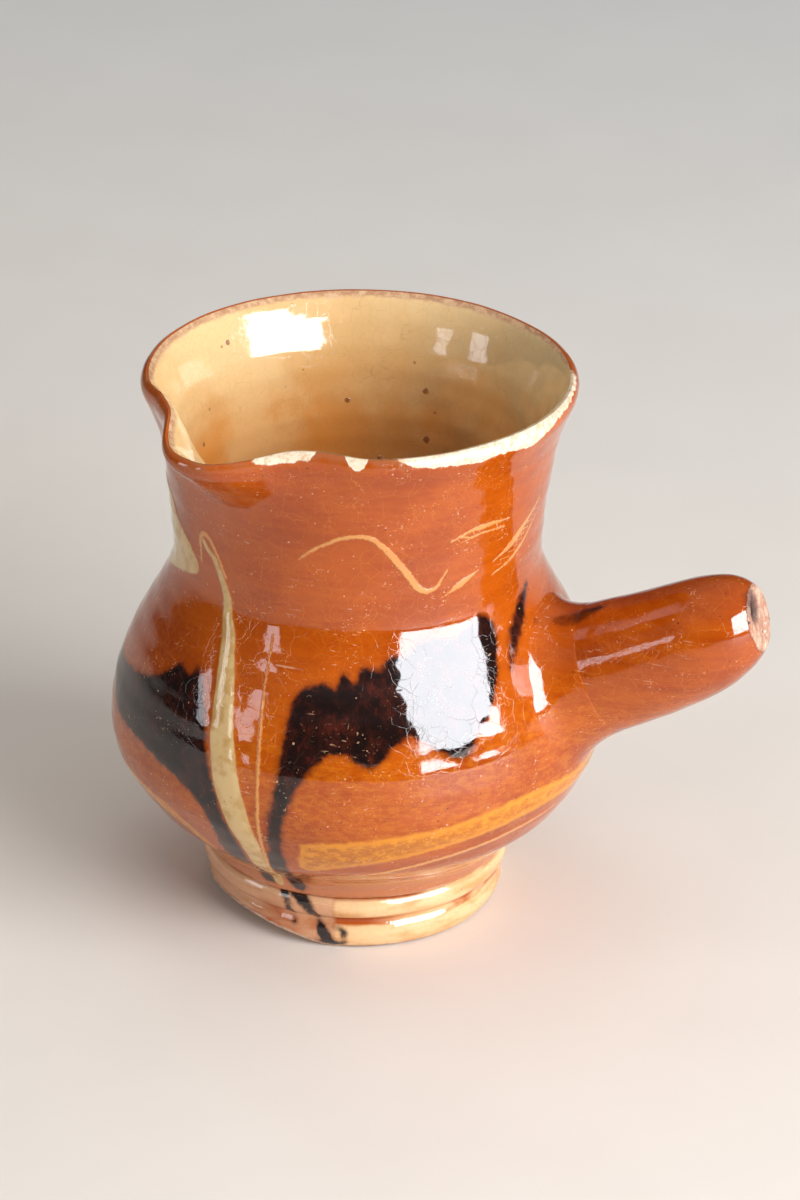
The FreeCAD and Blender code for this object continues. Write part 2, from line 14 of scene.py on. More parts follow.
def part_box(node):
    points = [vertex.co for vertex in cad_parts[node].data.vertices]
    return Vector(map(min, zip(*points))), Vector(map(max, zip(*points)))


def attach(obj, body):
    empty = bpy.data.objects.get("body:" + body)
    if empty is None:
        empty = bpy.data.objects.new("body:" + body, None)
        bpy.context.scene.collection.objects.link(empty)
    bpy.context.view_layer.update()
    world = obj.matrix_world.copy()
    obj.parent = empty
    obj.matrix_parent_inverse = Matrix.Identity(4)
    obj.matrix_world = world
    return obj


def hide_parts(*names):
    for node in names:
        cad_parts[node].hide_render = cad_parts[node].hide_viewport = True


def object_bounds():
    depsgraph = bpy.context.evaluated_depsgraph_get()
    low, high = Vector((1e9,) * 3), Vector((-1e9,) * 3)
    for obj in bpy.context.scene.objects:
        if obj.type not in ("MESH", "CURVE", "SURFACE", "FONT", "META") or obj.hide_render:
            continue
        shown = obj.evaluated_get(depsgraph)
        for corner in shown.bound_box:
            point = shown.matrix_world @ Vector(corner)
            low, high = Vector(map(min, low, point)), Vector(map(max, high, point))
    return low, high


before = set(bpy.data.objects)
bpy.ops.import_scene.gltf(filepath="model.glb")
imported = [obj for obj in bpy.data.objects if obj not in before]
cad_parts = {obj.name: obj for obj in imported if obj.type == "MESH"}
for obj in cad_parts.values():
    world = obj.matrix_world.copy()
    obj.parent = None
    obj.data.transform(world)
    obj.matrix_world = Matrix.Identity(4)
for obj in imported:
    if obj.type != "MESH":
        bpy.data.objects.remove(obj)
cad_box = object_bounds()
MM = 0.001
print("CAD box in mm", [[round(value / MM, 1) for value in corner] for corner in cad_box])

# %% [markdown]
# The height of the foot, the height of the rim and the widest radius are read from the frame. The
# thickness of the clay, the direction of the lip and the slope of the handle are given.

# %% Sizes of the thrown pot, in millimetres
FOOT_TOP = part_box("foot_ring")[1].z / MM
RIM_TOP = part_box("body_wall")[1].z / MM
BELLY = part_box("body_wall")[1].y / MM
WALL, RIM_WALL, FLOOR = 4.3, 3.6, 6.0
LIP_ANGLE = 249.0
RISE = math.radians(23.5)
HANDLE_LEVEL = 41.4
print("foot", round(FOOT_TOP, 1), "rim", round(RIM_TOP, 1), "belly", round(BELLY, 1))

# %% [markdown]
# The outline is a few points, and a smooth line drawn through them is what the throwing follows.
# Shares of the belly's radius keep the pot's proportions if its size ever changes.

# %% Outline of the outside, as shares of the belly's radius and of the height above the foot
OUTSIDE_SHARES = [
    (0.627, 0.0), (0.682, 0.046), (0.852, 0.120), (0.967, 0.205), (1.0, 0.284), (0.953, 0.396),
    (0.868, 0.490), (0.778, 0.567), (0.737, 0.620), (0.741, 0.690), (0.760, 0.782), (0.802, 0.900),
    (0.858, 0.966), (0.868, 0.983),
]
outside = [(BELLY * wide, FOOT_TOP + (RIM_TOP - FOOT_TOP) * high) for wide, high in OUTSIDE_SHARES]
crest = [(outside[-1][0] - 0.25 * RIM_WALL, RIM_TOP - 0.35), (outside[-1][0] - 0.55 * RIM_WALL, RIM_TOP)]
inside = [(outside[-1][0] - RIM_WALL, RIM_TOP - 1.8)]
inside += [(wide - WALL, high) for wide, high in reversed(outside[3:12])]
inside += [(39.0, FOOT_TOP + FLOOR + 5.2), (30.0, FOOT_TOP + FLOOR + 0.7), (20.0, FOOT_TOP + FLOOR)]


def smooth_line(points, spacing):
    """Points about that far apart on the smooth line through a few."""
    points = np.array(points, float)
    padded = np.vstack([2 * points[0] - points[1], points, 2 * points[-1] - points[-2]])
    found = [points[0]]
    for a, b, c, d in zip(padded, padded[1:], padded[2:], padded[3:]):
        steps = max(1, round(np.linalg.norm((c - b)[:2]) / spacing))
        for t in np.arange(1, steps + 1) / steps:
            bend = (2 * a - 5 * b + 4 * c - d) * t ** 2 + (3 * b - a - 3 * c + d) * t ** 3
            found.append((2 * b + (c - a) * t + bend) / 2)
    return np.array(found)


profile = smooth_line(outside, 0.5)


def outside_radius(height):
    """Radius of the outside at a height, in millimetres."""
    return np.interp(height, profile[:, 1], profile[:, 0])


print("neck radius", round(float(outside_radius(86.0)), 2), "mm")

# %% [markdown]
# The pot could be spun from an outline in one step. Here it is thrown instead, ring by ring: a
# circle is extruded and scaled again and again, which is how clay is pulled up on the wheel, and
# each ring keeps the small ridge that the fingers leave.

# %% Throwing: one ring of clay pulled from the last
def throw(name, rings, around):
    """A form drawn up through (radius, height) rings in millimetres, left in edit mode."""
    bpy.ops.object.select_all(action="DESELECT")
    radius, height = rings[0]
    bpy.ops.mesh.primitive_circle_add(vertices=around, radius=radius * MM, location=(0, 0, height * MM))
    piece = bpy.context.object
    piece.name = piece.data.name = name
    bpy.ops.object.transform_apply(location=True, rotation=True, scale=True)
    bpy.ops.object.mode_set(mode="EDIT")
    bpy.ops.mesh.select_all(action="SELECT")
    for (here, low), (there, high) in zip(rings, rings[1:]):
        bpy.ops.mesh.extrude_region_move(TRANSFORM_OT_translate={"value": (0, 0, (high - low) * MM)})
        grow = there / here
        bpy.ops.transform.resize(value=(grow, grow, 1), center_override=(0, 0, high * MM))
    return piece


def close_poles(piece, rings):
    """Draw the small first and last rings together."""
    for height in (rings[-1][1], rings[0][1]):
        mesh = bmesh.from_edit_mesh(piece.data)
        for vert in mesh.verts:
            vert.select_set(False)
        for vert in mesh.verts:
            small = math.hypot(vert.co.x, vert.co.y) < POLE * 1.5 * MM
            vert.select_set(small and abs(vert.co.z - height * MM) < 0.1 * MM)
        mesh.select_flush(True)
        bmesh.update_edit_mesh(piece.data)
        bpy.ops.mesh.merge(type="CENTER")


def face_outwards():
    """Merge what lies on the same spot, turn every face outwards and leave the editing."""
    bpy.ops.mesh.select_all(action="SELECT")
    bpy.ops.mesh.remove_doubles(threshold=0.00001)
    bpy.ops.mesh.normals_make_consistent(inside=False)
    bpy.ops.object.mode_set(mode="OBJECT")


def use(piece, kind, name, **settings):
    """Add a modifier with these settings and apply it."""
    bpy.ops.object.select_all(action="DESELECT")
    bpy.context.view_layer.objects.active = piece
    piece.select_set(True)
    modifier = piece.modifiers.new(name, kind)
    for key, value in settings.items():
        setattr(modifier, key, value)
    bpy.ops.object.modifier_apply(modifier=name)


def subdivide(piece, levels):
    use(piece, "SUBSURF", "smooth", levels=levels, render_levels=levels)


POLE = 1.0   # radius of the first and the last ring, before they are drawn together
print("throwing tools ready")

# %% [markdown]
# The wall starts under the floor, goes up the outside, over the rim and down the inside, and ends on
# the floor, so it is one closed shell. Two waves of different lengths stand for the finger ridges.

# %% Throw the wall, the rim and the floor
under_floor = [(POLE, FOOT_TOP), (12.0, FOOT_TOP), (26.0, FOOT_TOP), (34.9, FOOT_TOP)]
pulled = smooth_line(outside + crest + inside, 1.9)
ridge = 0.11 * np.sin(pulled[:, 1] * 1.15) + 0.07 * np.sin(pulled[:, 1] * 0.47 + 1.0)
pulled[:, 0] += ridge * (pulled[:, 1] > FOOT_TOP + 4) * (pulled[:, 1] < RIM_TOP - 6)
floor_rings = [(12.0, FOOT_TOP + FLOOR - 0.1), (5.0, FOOT_TOP + FLOOR - 0.2), (POLE, FOOT_TOP + FLOOR - 0.2)]
wall_rings = under_floor + [tuple(ring) for ring in pulled] + floor_rings
wall = throw("thrown_wall", wall_rings, 144)
close_poles(wall, wall_rings)
print("rings", len(wall_rings))

# %% [markdown]
# Two facts are noted on the fresh wall while it is still perfectly round: which faces the lining
# will cover, and how far each vertex is from the crest of the rim. Both survive the smoothing.

# %% Note the inside faces and the distance from the crest
def leave_edit(piece):
    bpy.ops.object.mode_set(mode="OBJECT")
    return piece.data


def enter_edit(piece):
    bpy.context.view_layer.objects.active = piece
    bpy.ops.object.mode_set(mode="EDIT")


def spots(piece):
    """Every vertex of a piece, in millimetres."""
    return np.array([vert.co for vert in piece.data.vertices]) / MM


def write(piece, name, values):
    """Store one number for each vertex, for a material to read."""
    layer = piece.data.attributes.new(name, "FLOAT", "POINT")
    layer.data.foreach_set("value", np.asarray(values, np.float32))


def read(piece, name):
    """The number that each vertex carries."""
    found = np.zeros(len(piece.data.vertices), np.float32)
    piece.data.attributes[name].data.foreach_get("value", found)
    return found


MIDDLE_OF_WALL = 2.3


def under_lining(radius, height):
    """Whether a place is nearer the inside of the pot than its outside."""
    return (radius < outside_radius(height) - MIDDLE_OF_WALL) & (height > FOOT_TOP + FLOOR - 1.0)


mesh = leave_edit(wall)
places = spots(wall)
wide = np.hypot(places[:, 0], places[:, 1])
sign = np.where(under_lining(wide, places[:, 2]), -1, 1)
write(wall, "from_crest", sign * (RIM_TOP - places[:, 2]))
for face in mesh.polygons:
    centre = face.center / MM
    face.material_index = int(under_lining(math.hypot(centre.x, centre.y), centre.z))
print("faces under the lining", sum(face.material_index for face in mesh.polygons))
enter_edit(wall)

# %% [markdown]
# The lip is pulled while the rim is still soft: one finger draws it out while two others hold the
# rim on both sides. Proportional editing does the same, a broad pull first and a tight one after.

# %% Pull the pouring lip
def select_near(piece, place, reach):
    """Select the vertices near a place, in millimetres."""
    mesh = bmesh.from_edit_mesh(piece.data)
    centre = Vector(place) * MM
    for vert in mesh.verts:
        vert.select_set(False)
    for vert in mesh.verts:
        vert.select_set((vert.co - centre).length < reach * MM)
    mesh.select_flush(True)
    bmesh.update_edit_mesh(piece.data)
    return sum(vert.select for vert in mesh.verts)


def pull(piece, place, reach, move, size):
    """Move what is near a place, and its surroundings less and less out to a size."""
    found = select_near(piece, place, reach)
    bpy.ops.transform.translate(
        value=Vector(move) * MM,
        use_proportional_edit=True,
        proportional_edit_falloff="SMOOTH",
        proportional_size=size * MM,
    )
    return found


def on_rim(angle, radius, height=RIM_TOP):
    turn = math.radians(angle)
    return (radius * math.cos(turn), radius * math.sin(turn), height)


# the broad pull, the tight one, and the two fingers that hold the rim beside them
rim_middle = outside[-1][0] - RIM_WALL / 2
found = pull(wall, on_rim(LIP_ANGLE, rim_middle), 3.5, on_rim(LIP_ANGLE, 3.2, -0.2), 26.0)
found += pull(wall, on_rim(LIP_ANGLE, rim_middle + 3.0), 4.0, on_rim(LIP_ANGLE, 7.0, -1.6), 16.0)
for side in (-27.0, 27.0):
    pull(wall, on_rim(LIP_ANGLE + side, rim_middle), 3.0, on_rim(LIP_ANGLE + side, -1.2, 1.0), 13.0)
print("vertices pulled", found)
face_outwards()

# %% [markdown]
# Clay that is thrown by hand is never quite round. A soft cloud of noise pushes the surface in and
# out by a few tenths of a millimetre before it is smoothed.

# %% Leave the marks of the hand
def uneven(piece, name, size, depth):
    """Push a surface in and out along its normals by a soft noise."""
    clouds = bpy.data.textures.new(name, "CLOUDS")
    clouds.noise_scale = size * MM
    use(piece, "DISPLACE", name, texture=clouds, texture_coords="LOCAL", strength=depth * MM, mid_level=0.5)


uneven(wall, "hand_unevenness", 28.0, 0.9)
subdivide(wall, 1)
print("faces of the wall", len(wall.data.polygons))

# %% [markdown]
# The lining is cream slip, poured in and out while the clay is damp, so it follows the inside
# exactly. It could be thrown again a little smaller, but a copy of the wall keeps every unevenness:
# the outside is deleted and what is left is thickened.

# %% Pour the lining
def copy_of(piece, name):
    bpy.ops.object.select_all(action="DESELECT")
    fresh = piece.copy()
    fresh.data = piece.data.copy()
    fresh.name = fresh.data.name = name
    bpy.context.scene.collection.objects.link(fresh)
    fresh.select_set(True)
    return fresh


SLIP, GAP = 0.4, 0.03
lining = copy_of(wall, "poured_lining")
for face in lining.data.polygons:
    face.select = face.material_index == 0
bpy.context.tool_settings.mesh_select_mode = (False, False, True)
enter_edit(lining)
bpy.ops.mesh.delete(type="FACE")
bpy.ops.mesh.select_all(action="SELECT")
bpy.ops.transform.shrink_fatten(value=GAP * MM)
leave_edit(lining)
bpy.context.tool_settings.mesh_select_mode = (True, False, False)
# over the last 6 mm the slip thins out towards the crest, where the rim was wiped
thin_edge = lining.vertex_groups.new(name="away_from_crest")
for vert, depth in zip(lining.data.vertices, lining.data.attributes["from_crest"].data):
    thin_edge.add([vert.index], min(1.0, abs(depth.value) / 6.0), "REPLACE")
coat = {"vertex_group": "away_from_crest", "thickness_vertex_group": 0.08}
use(lining, "SOLIDIFY", "coat_of_slip", thickness=SLIP * MM, offset=1.0, **coat)
for piece in (lining, wall):
    for face in piece.data.polygons:
        face.material_index = 0
print("faces of the lining", len(lining.data.polygons))

# %% [markdown]
# The foot is a ring, thrown apart and luted on. Its section is a closed loop, so the last ring
# comes back onto the first and is merged with it. A flat facet was knocked off its lower edge,
# which is one bisect with the open side filled.

# %% Throw the foot ring and knock off its edge
BORE = 25.0
foot_section = [
    (BORE, 0.8), (25.8, 0.0), (29.0, 0.0), (32.6, 0.0), (33.6, 0.5), (34.3, 1.7), (34.7, 3.4),
    (34.5, 5.0), (34.0, 6.3), (33.5, 7.2), (33.8, 8.0), (34.9, 8.6), (35.7, 9.7), (36.0, 11.0),
    (35.8, 12.4), (35.2, 13.5), (34.6, FOOT_TOP - GAP), (30.0, FOOT_TOP - GAP),
    (BORE, FOOT_TOP - GAP), (BORE, 7.0), (BORE, 0.8),
]
foot = throw("thrown_foot", foot_section, 144)
face_outwards()
uneven(foot, "foot_unevenness", 12.0, 0.5)
subdivide(foot, 1)
enter_edit(foot)
bpy.ops.mesh.select_all(action="SELECT")
knock = {"plane_co": Vector((4.1, -33.7, 0.5)) * MM, "plane_no": (-0.226, -0.267, -0.937)}
bpy.ops.mesh.bisect(use_fill=True, clear_outer=True, **knock)
leave_edit(foot)
print("faces of the foot", len(foot.data.polygons))

# %% [markdown]
# The handle is a second small thrown form, closed at its end like a thumb. It could be a swept
# curve, but throwing it keeps the same finger ridges. It is thrown upright, bent a little, and then
# laid along its own slope with its root inside the wall.

# %% Throw the handle and bend it
HANDLE_RINGS = [
    (POLE, 53.4), (9.0, 53.4), (15.4, 53.4), (15.4, 56.0), (15.2, 59.0), (15.0, 63.0), (14.85, 67.0),
    (14.65, 71.2), (14.4, 75.6), (14.2, 80.0), (13.9, 84.6), (13.5, 89.2), (12.85, 93.0), (11.9, 96.1),
    (10.9, 98.9), (9.4, 101.4), (7.6, 103.3), (5.3, 104.9), (3.0, 105.8), (POLE, 106.1),
]
BEND, BEND_FROM = 1.25, 60.0


def handle_rise(along):
    """How far the middle of the handle has risen off its straight line."""
    slump = np.interp(along, (53.0, 74.0, 84.0, 100.0), (1.2, 1.2, 0.8, 0.0))
    return BEND * (max(0.0, along - BEND_FROM) / 30.0) ** 2 - float(slump)


def handle_radius(along):
    rings = np.array(HANDLE_RINGS[2:])
    return float(np.interp(along, rings[:, 1], rings[:, 0]))


lay_down = Matrix.Translation((0, 0, HANDLE_LEVEL * MM)) @ Matrix.Rotation(math.pi / 2 - RISE, 4, "Y")
handle = throw("thrown_handle", HANDLE_RINGS, 72)
close_poles(handle, HANDLE_RINGS)
face_outwards()
for vert in handle.data.vertices:
    vert.co.x -= handle_rise(vert.co.z / MM) * MM
subdivide(handle, 2)
uneven(handle, "handle_unevenness", 18.0, 0.5)
print("faces of the handle", len(handle.data.polygons))

# %% [markdown]
# The glaze was ground off the end of the handle, and a small vent was pierced there so that the
# air inside could get out in the kiln. The end is bisected, and the open loop is drawn in ring by
# ring around the vent and then down into the clay.

# %% Break the end of the handle and pierce its vent
FAR = 9.0   # a distance that means: nowhere near
END_CUT = Vector((0.0, 0.0, 103.5)) * MM
END_FACE = Vector((0.10, 0.03, 0.99)).normalized()
VENT = Vector((-6.4, -2.6, 103.5)) * MM
VENT_DEPTH = 4.0
VENT_SHADE_CENTRE, VENT_SHADE_RADIUS = (-5.3, -1.9, 103.5), 3.2   # centre and reach of the black painted in and round the vent: painted shade down the hole
enter_edit(handle)
bpy.ops.mesh.select_all(action="SELECT")
bpy.ops.mesh.bisect(plane_co=END_CUT, plane_no=END_FACE, use_fill=False, clear_outer=True)
last_share = 1.0
for share, drop in ((0.86, -0.25), (0.72, 0.15), (0.58, 0.0), (0.46, -0.1), (0.34, 0.1), (0.25, 0.5)):
    sink = END_FACE * -drop * MM
    bpy.ops.mesh.extrude_region_move(TRANSFORM_OT_translate={"value": sink})
    grow = share / last_share
    bpy.ops.transform.resize(value=(grow, grow, grow), center_override=VENT)
    last_share = share
bpy.ops.mesh.extrude_region_move(TRANSFORM_OT_translate={"value": END_FACE * -VENT_DEPTH * MM})
bpy.ops.transform.resize(value=(0.7, 0.7, 0.7), center_override=VENT - END_FACE * VENT_DEPTH * MM)
bpy.ops.mesh.edge_face_add()
face_outwards()
places = spots(handle)
facing = np.array(END_FACE)
from_end = (places - np.array(END_CUT) / MM) @ facing
# distance inside the dark round the vent: bare clay there, and painted shade down the hole
from_vent = places - np.array(VENT_SHADE_CENTRE)
from_vent = np.linalg.norm(from_vent - np.outer(from_vent @ facing, facing), axis=1)
by_vent = np.where(from_end > -9.0, VENT_SHADE_RADIUS - from_vent, -FAR)
write(handle, "bare_clay", np.clip(np.maximum(from_end + 0.5, by_vent), -3.0, 1.0))
handle.matrix_world = lay_down
bpy.ops.object.select_all(action="DESELECT")
handle.select_set(True)
bpy.context.view_layer.objects.active = handle
bpy.ops.object.transform_apply(location=True, rotation=True, scale=True)
print("handle reaches", round(max(vert.co.x for vert in handle.data.vertices) / MM, 1), "mm")

# %% [markdown]
# Where the handle meets the belly, the potter smoothed a collar of soft clay with a thumb. It could
# be a bevel along the joint, but that needs the two pieces fused, and they are separate lumps of
# clay. It starts as a short thrown tube, and each of its rings is laid on a fillet between the two.

# %% Smooth the collar of the handle
AROUND_COLLAR, ACROSS_COLLAR = 96, 9
FILLET, FILLET_BELOW = 6.8, 1.6   # width of the fillet, and how much wider it is underneath
ALONG = np.array(lay_down.to_3x3() @ Vector((0, 0, 1)))
DOWNWARD = np.array(lay_down.to_3x3() @ Vector((1, 0, 0)))
SIDEWAYS = np.array((0.0, 1.0, 0.0))


def on_handle(turn, along, sunk=0.0):
    """A point on the handle and the way out from its axis there."""
    out = math.cos(turn) * DOWNWARD + math.sin(turn) * SIDEWAYS
    axis = np.array((0, 0, HANDLE_LEVEL)) + along * ALONG - handle_rise(along) * DOWNWARD
    return axis + (handle_radius(along) - sunk) * out, out


def on_belly(angle, height, lift=0.0):
    """A point on the outside of the belly, from its angle in degrees and its height."""
    radius = outside_radius(height) + lift
    turn = np.radians(angle)
    return np.stack([radius * np.cos(turn), radius * np.sin(turn), height + 0.0 * turn], axis=-1)


def meeting(turn):
    """How far along the handle its surface comes out of the belly."""
    for along in np.arange(53.0, 66.0, 0.05):
        x, y, z = on_handle(turn, along)[0]
        if math.hypot(x, y) > outside_radius(z):
            return along
    return 66.0


def collar_section(turn):
    """Points across the collar: over the fillet and back inside the clay."""
    along = meeting(turn)
    joint, out = on_handle(turn, along)
    wide = FILLET + FILLET_BELOW * math.cos(turn)
    near = joint + out * wide
    angle = math.degrees(math.atan2(near[1], near[0]))
    on_wall = on_belly(angle, near[2], -0.25)
    on_stub = on_handle(turn, along + wide + 4.5, 0.10)[0]
    middle = joint + 0.10 * out
    line = [(1 - t) ** 2 * on_stub + 2 * t * (1 - t) * middle + t * t * on_wall for t in np.linspace(0, 1, 7)]
    back = [on_belly(angle, near[2], -1.5), on_handle(turn, along + 1.0, 2.0)[0]]
    return line + back


collar = throw("smoothed_collar", [(15.0 + ring, 1.0 * ring) for ring in range(ACROSS_COLLAR)], AROUND_COLLAR)
mesh = leave_edit(collar)
sections = [collar_section(2 * math.pi * step / AROUND_COLLAR) for step in range(AROUND_COLLAR)]
for index, vert in enumerate(mesh.vertices):
    ring, step = divmod(index, AROUND_COLLAR)
    vert.co = Vector(sections[step][ring]) * MM
enter_edit(collar)
bpy.ops.mesh.select_all(action="DESELECT")
bpy.ops.mesh.select_mode(type="EDGE")
bpy.ops.mesh.select_non_manifold()
bpy.ops.mesh.bridge_edge_loops()
bpy.ops.mesh.select_mode(type="VERT")
face_outwards()
subdivide(collar, 2)
print("faces of the collar", len(collar.data.polygons))

# %% [markdown]
# The slip decoration was trailed from a bottle and brushed while the pot turned. Thin clay has no
# thickness worth modelling by itself, so each mark is written on the surface as a number: how many
# millimetres a point lies inside the mark's edge. A material turns that into a soft, feathered edge.

# %% Trace a stroke and fill an outline
def turned(places):
    """Angle of every place in degrees, from 150 up to 510, so that no mark is cut in two."""
    return (np.degrees(np.arctan2(places[:, 1], places[:, 0])) - 150.0) % 360.0 + 150.0


def nearest(places, points):
    """For every place, which point is nearest and how far it is; far places are skipped."""
    which = np.zeros(len(places), int)
    best = np.full(len(places), FAR)
    close = np.all((places > points.min(0) - FAR) & (places < points.max(0) + FAR), axis=1)
    chosen = np.where(close)[0]
    for index, point in enumerate(points):
        gap = np.linalg.norm(places[chosen] - point, axis=1)
        closer = gap < best[chosen]
        best[chosen[closer]] = gap[closer]
        which[chosen[closer]] = index
    return which, best


def stroke(places, stations, surface=on_belly):
    """Millimetres inside a stroke's edge, the signed distance across it, and its half width."""
    line = smooth_line(stations, 0.5)
    points = surface(line[:, 0], line[:, 1])
    ahead = np.gradient(points, axis=0)
    ahead /= np.linalg.norm(ahead, axis=1)[:, None]
    outward = points * (1, 1, 0)
    outward /= np.linalg.norm(outward, axis=1)[:, None]
    aside = np.cross(ahead, outward)
    which, gap = nearest(places, points)
    across = np.sum((places - points[which]) * aside[which], axis=1)
    return line[which, 2] - gap, across, line[which, 2]


def patch(places, outline):
    """Millimetres inside an outline of (angle, height) points."""
    line = smooth_line(outline + outline[:1], 0.8)[:, :2]
    angle = turned(places)
    height = places[:, 2]
    inside_it = np.zeros(len(places), bool)
    for (a, low), (b, high) in zip(line, line[1:]):
        if low == high:
            continue
        crossing = (low > height) != (high > height)
        inside_it ^= crossing & (angle < a + (b - a) * (height - low) / (high - low))
    gap = nearest(places, on_belly(line[:, 0], line[:, 1]))[1]
    return np.where(inside_it, gap, -gap)


print("marks can be traced")

# %% [markdown]
# A wide trail runs from the neck to the foot with a thin one beside it, black patches flow under
# the shoulder, a curl and brush marks sit on the neck, and a belt of ochre turns round the bottom.
# A stroke is (angle, height, half width), an outline is (angle, height).

# %% The marks on the belly and the neck
WIDE_TRAIL = [
    (235, 100, 0.5), (237, 98, 0.6), (240, 96.5, 0.7), (243, 92, 0.9), (245, 88, 1.2), (246, 84, 1.4),
    (248, 81, 1.7), (250, 77, 2.0), (252.5, 71, 2.4), (254, 66, 2.8), (255, 61, 3.1), (256.5, 56, 3.3),
    (258, 51, 3.3), (260, 46, 3.1), (262, 39.5, 2.8), (263, 34, 2.4), (263, 28, 2.0), (262, 22, 1.5),
    (261, 17, 1.1),
]
TRAIL_HOOK = [
    (233, 95, 0.4), (233, 99, 0.5), (235, 101.5, 0.6), (238, 101, 0.6), (241, 98, 0.5), (244, 94, 0.4),
]
LOWER_LINE = [(283, 25.5, 0.2), (295, 28.5, 0.45), (312, 32.0, 0.6), (328, 34.5, 0.6), (344, 36.0, 0.3)]
THIN_TRAIL = [(263, 82, 0.12), (263.5, 75, 0.2), (264.5, 68, 0.3), (265.3, 60, 0.36), (265.9, 50, 0.42),
              (266.2, 40, 0.42), (265.8, 32, 0.36), (265, 25, 0.25)]
CURL = [(272, 103.5, 0.25), (275, 105.5, 0.35), (279, 107.4, 0.4), (284, 109.3, 0.5), (290, 109.8, 0.6),
        (294, 108.4, 0.65), (298, 105, 0.75), (303, 100, 0.8), (307, 95.6, 0.75), (310, 94.4, 0.6),
        (313, 95.2, 0.4), (315.5, 98, 0.2)]
HIGH_BRUSH = [
    [(318, 106.4, 0.2), (324, 107.8, 0.45), (330, 107.9, 0.5), (337, 107.4, 0.2)],
    [(320, 105.2, 0.1), (327, 106.2, 0.25), (335, 105.8, 0.2)],
]
LOW_BRUSH = [
    [(335, 98.0, 0.2), (341, 99.8, 0.7), (347, 102.4, 0.8), (356, 106.5, 0.2)],
    [(335, 94.6, 0.15), (343, 96.4, 0.4), (350, 99.6, 0.35), (357, 103.0, 0.15)],
]
DASHES = [[(317, 92.8, 0.2), (321, 94.5, 0.8), (326, 96.2, 0.2)]]
FINE_STROKES = [THIN_TRAIL, CURL, LOWER_LINE, TRAIL_HOOK] + HIGH_BRUSH + LOW_BRUSH + DASHES
NECK_SMEAR = [
    (192, 101), (200, 106), (208, 105), (215, 100), (225, 96.5), (230.5, 92.5), (229, 89.5), (221, 87.5),
    (210, 85), (200, 83), (192, 84),
]
BLACK_LEFT = [
    (194, 57), (199, 60), (211, 61.5), (223, 64), (230, 67), (236, 71), (240, 70), (242, 72), (245, 70),
    (248, 65), (250, 60), (252, 54.5), (255, 48.5), (257, 42.5), (259, 36), (259, 30), (258.5, 23), (259, 17),
    (254.5, 17), (254, 24), (253, 31), (253.5, 37), (251.5, 43), (246, 47), (238, 49), (227, 51), (211, 52),
]
BLACK_RIGHT = [
    (272, 70.5), (274, 73.5), (279, 75), (283, 74.2), (285, 77), (288, 75.6), (291, 78.4), (295, 77.6),
    (298, 80), (303, 80.5), (308, 83), (318, 82), (325, 84), (330, 85), (333, 82), (331, 77),
    (327, 71), (323, 66), (319, 63), (317, 60), (313, 58.8), (308, 61.5), (302, 64.7), (297, 62.4),
    (292, 58.6), (286, 61.2), (281, 60.6), (276, 55), (274.5, 52), (273, 48), (271.5, 42), (271, 34),
    (270.5, 26), (271, 17), (266.5, 17), (265.5, 27), (268, 37), (269, 45), (270, 52), (271, 61),
]
ROOT_SMEAR = [(334, 73, 0.5), (338, 77, 1.6), (342, 80, 2.0), (347, 83, 1.8), (353, 86, 1.0)]
OCHRE_RIGHT = [
    (276, 39), (288, 40.6), (299, 42), (311, 43), (321, 44.5), (332, 45.4), (341, 44.8), (351, 43.6),
    (362, 43.8), (376, 43.0), (392, 41.0), (392, 38.6), (376, 38.6), (362, 39.2), (351, 39.2), (341, 39.8),
    (328, 39.0), (312, 36.5), (300, 34.3), (285, 31), (275, 29.5),
]
OCHRE_LEFT = [(205, 41), (218, 40.4), (231, 39), (238, 37.4), (244, 34), (248.5, 28), (246, 27), (241, 31.5),
              (234, 34.5), (221, 36.5), (205, 38.5)]
print("strokes", len(FINE_STROKES), "patches", 4)

# %% [markdown]
# Every vertex of the outside now gets its distance inside each kind of mark. For the fine lines the
# distance across the line is kept instead, because it changes evenly from face to face and so
# draws a line much thinner than a face.

# %% Write the marks on the wall
THIN = 0.3
NO_MARKS = {   # what a vertex carries where there is no mark
    "cream_slip": -FAR, "black_slip": -FAR, "ochre_slip": -FAR,
    "fine_across": FAR, "fine_reach": FAR, "fine_half": THIN,
}


def write_marks(piece):
    """Give a piece of the outside its slip marks, as millimetres inside each mark's edge."""
    places = spots(piece)
    radius = np.hypot(places[:, 0], places[:, 1])
    chosen = np.where(radius > outside_radius(places[:, 2]) - 2.0)[0]
    here = places[chosen]
    cream = stroke(here, WIDE_TRAIL)[0]
    cream = np.maximum(cream, patch(here, NECK_SMEAR))
    black = np.maximum(patch(here, BLACK_LEFT), patch(here, BLACK_RIGHT))
    black = np.maximum(black, stroke(here, ROOT_SMEAR)[0] - 0.5)
    ochre = np.maximum(patch(here, OCHRE_LEFT), patch(here, OCHRE_RIGHT))
    across, reach, half = (np.full(len(here), value) for value in (FAR, FAR, THIN))
    for stations in FINE_STROKES:
        depth, side, wide = stroke(here, stations)
        nearer = wide - depth < reach
        reach[nearer] = (wide - depth)[nearer]
        across[nearer] = side[nearer]
        half[nearer] = wide[nearer]
    found = (cream, black, ochre, across, reach, half)
    for (name, empty), values_here in zip(NO_MARKS.items(), found):
        values = np.full(len(places), empty)
        values[chosen] = values_here
        write(piece, name, values)
    return int((cream > 0).sum()), int((black > 0).sum()), int((ochre > 0).sum())


print("points in cream, black and ochre", write_marks(wall))

# %% [markdown]
# The rim is worn. The glaze is thin on the crest and the cream slip shows through in patches.
# Slip from a bottle also stands up a little from the clay, so the marks are raised by a tenth or
# two of a millimetre: a Displace modifier with the mark as its strength.

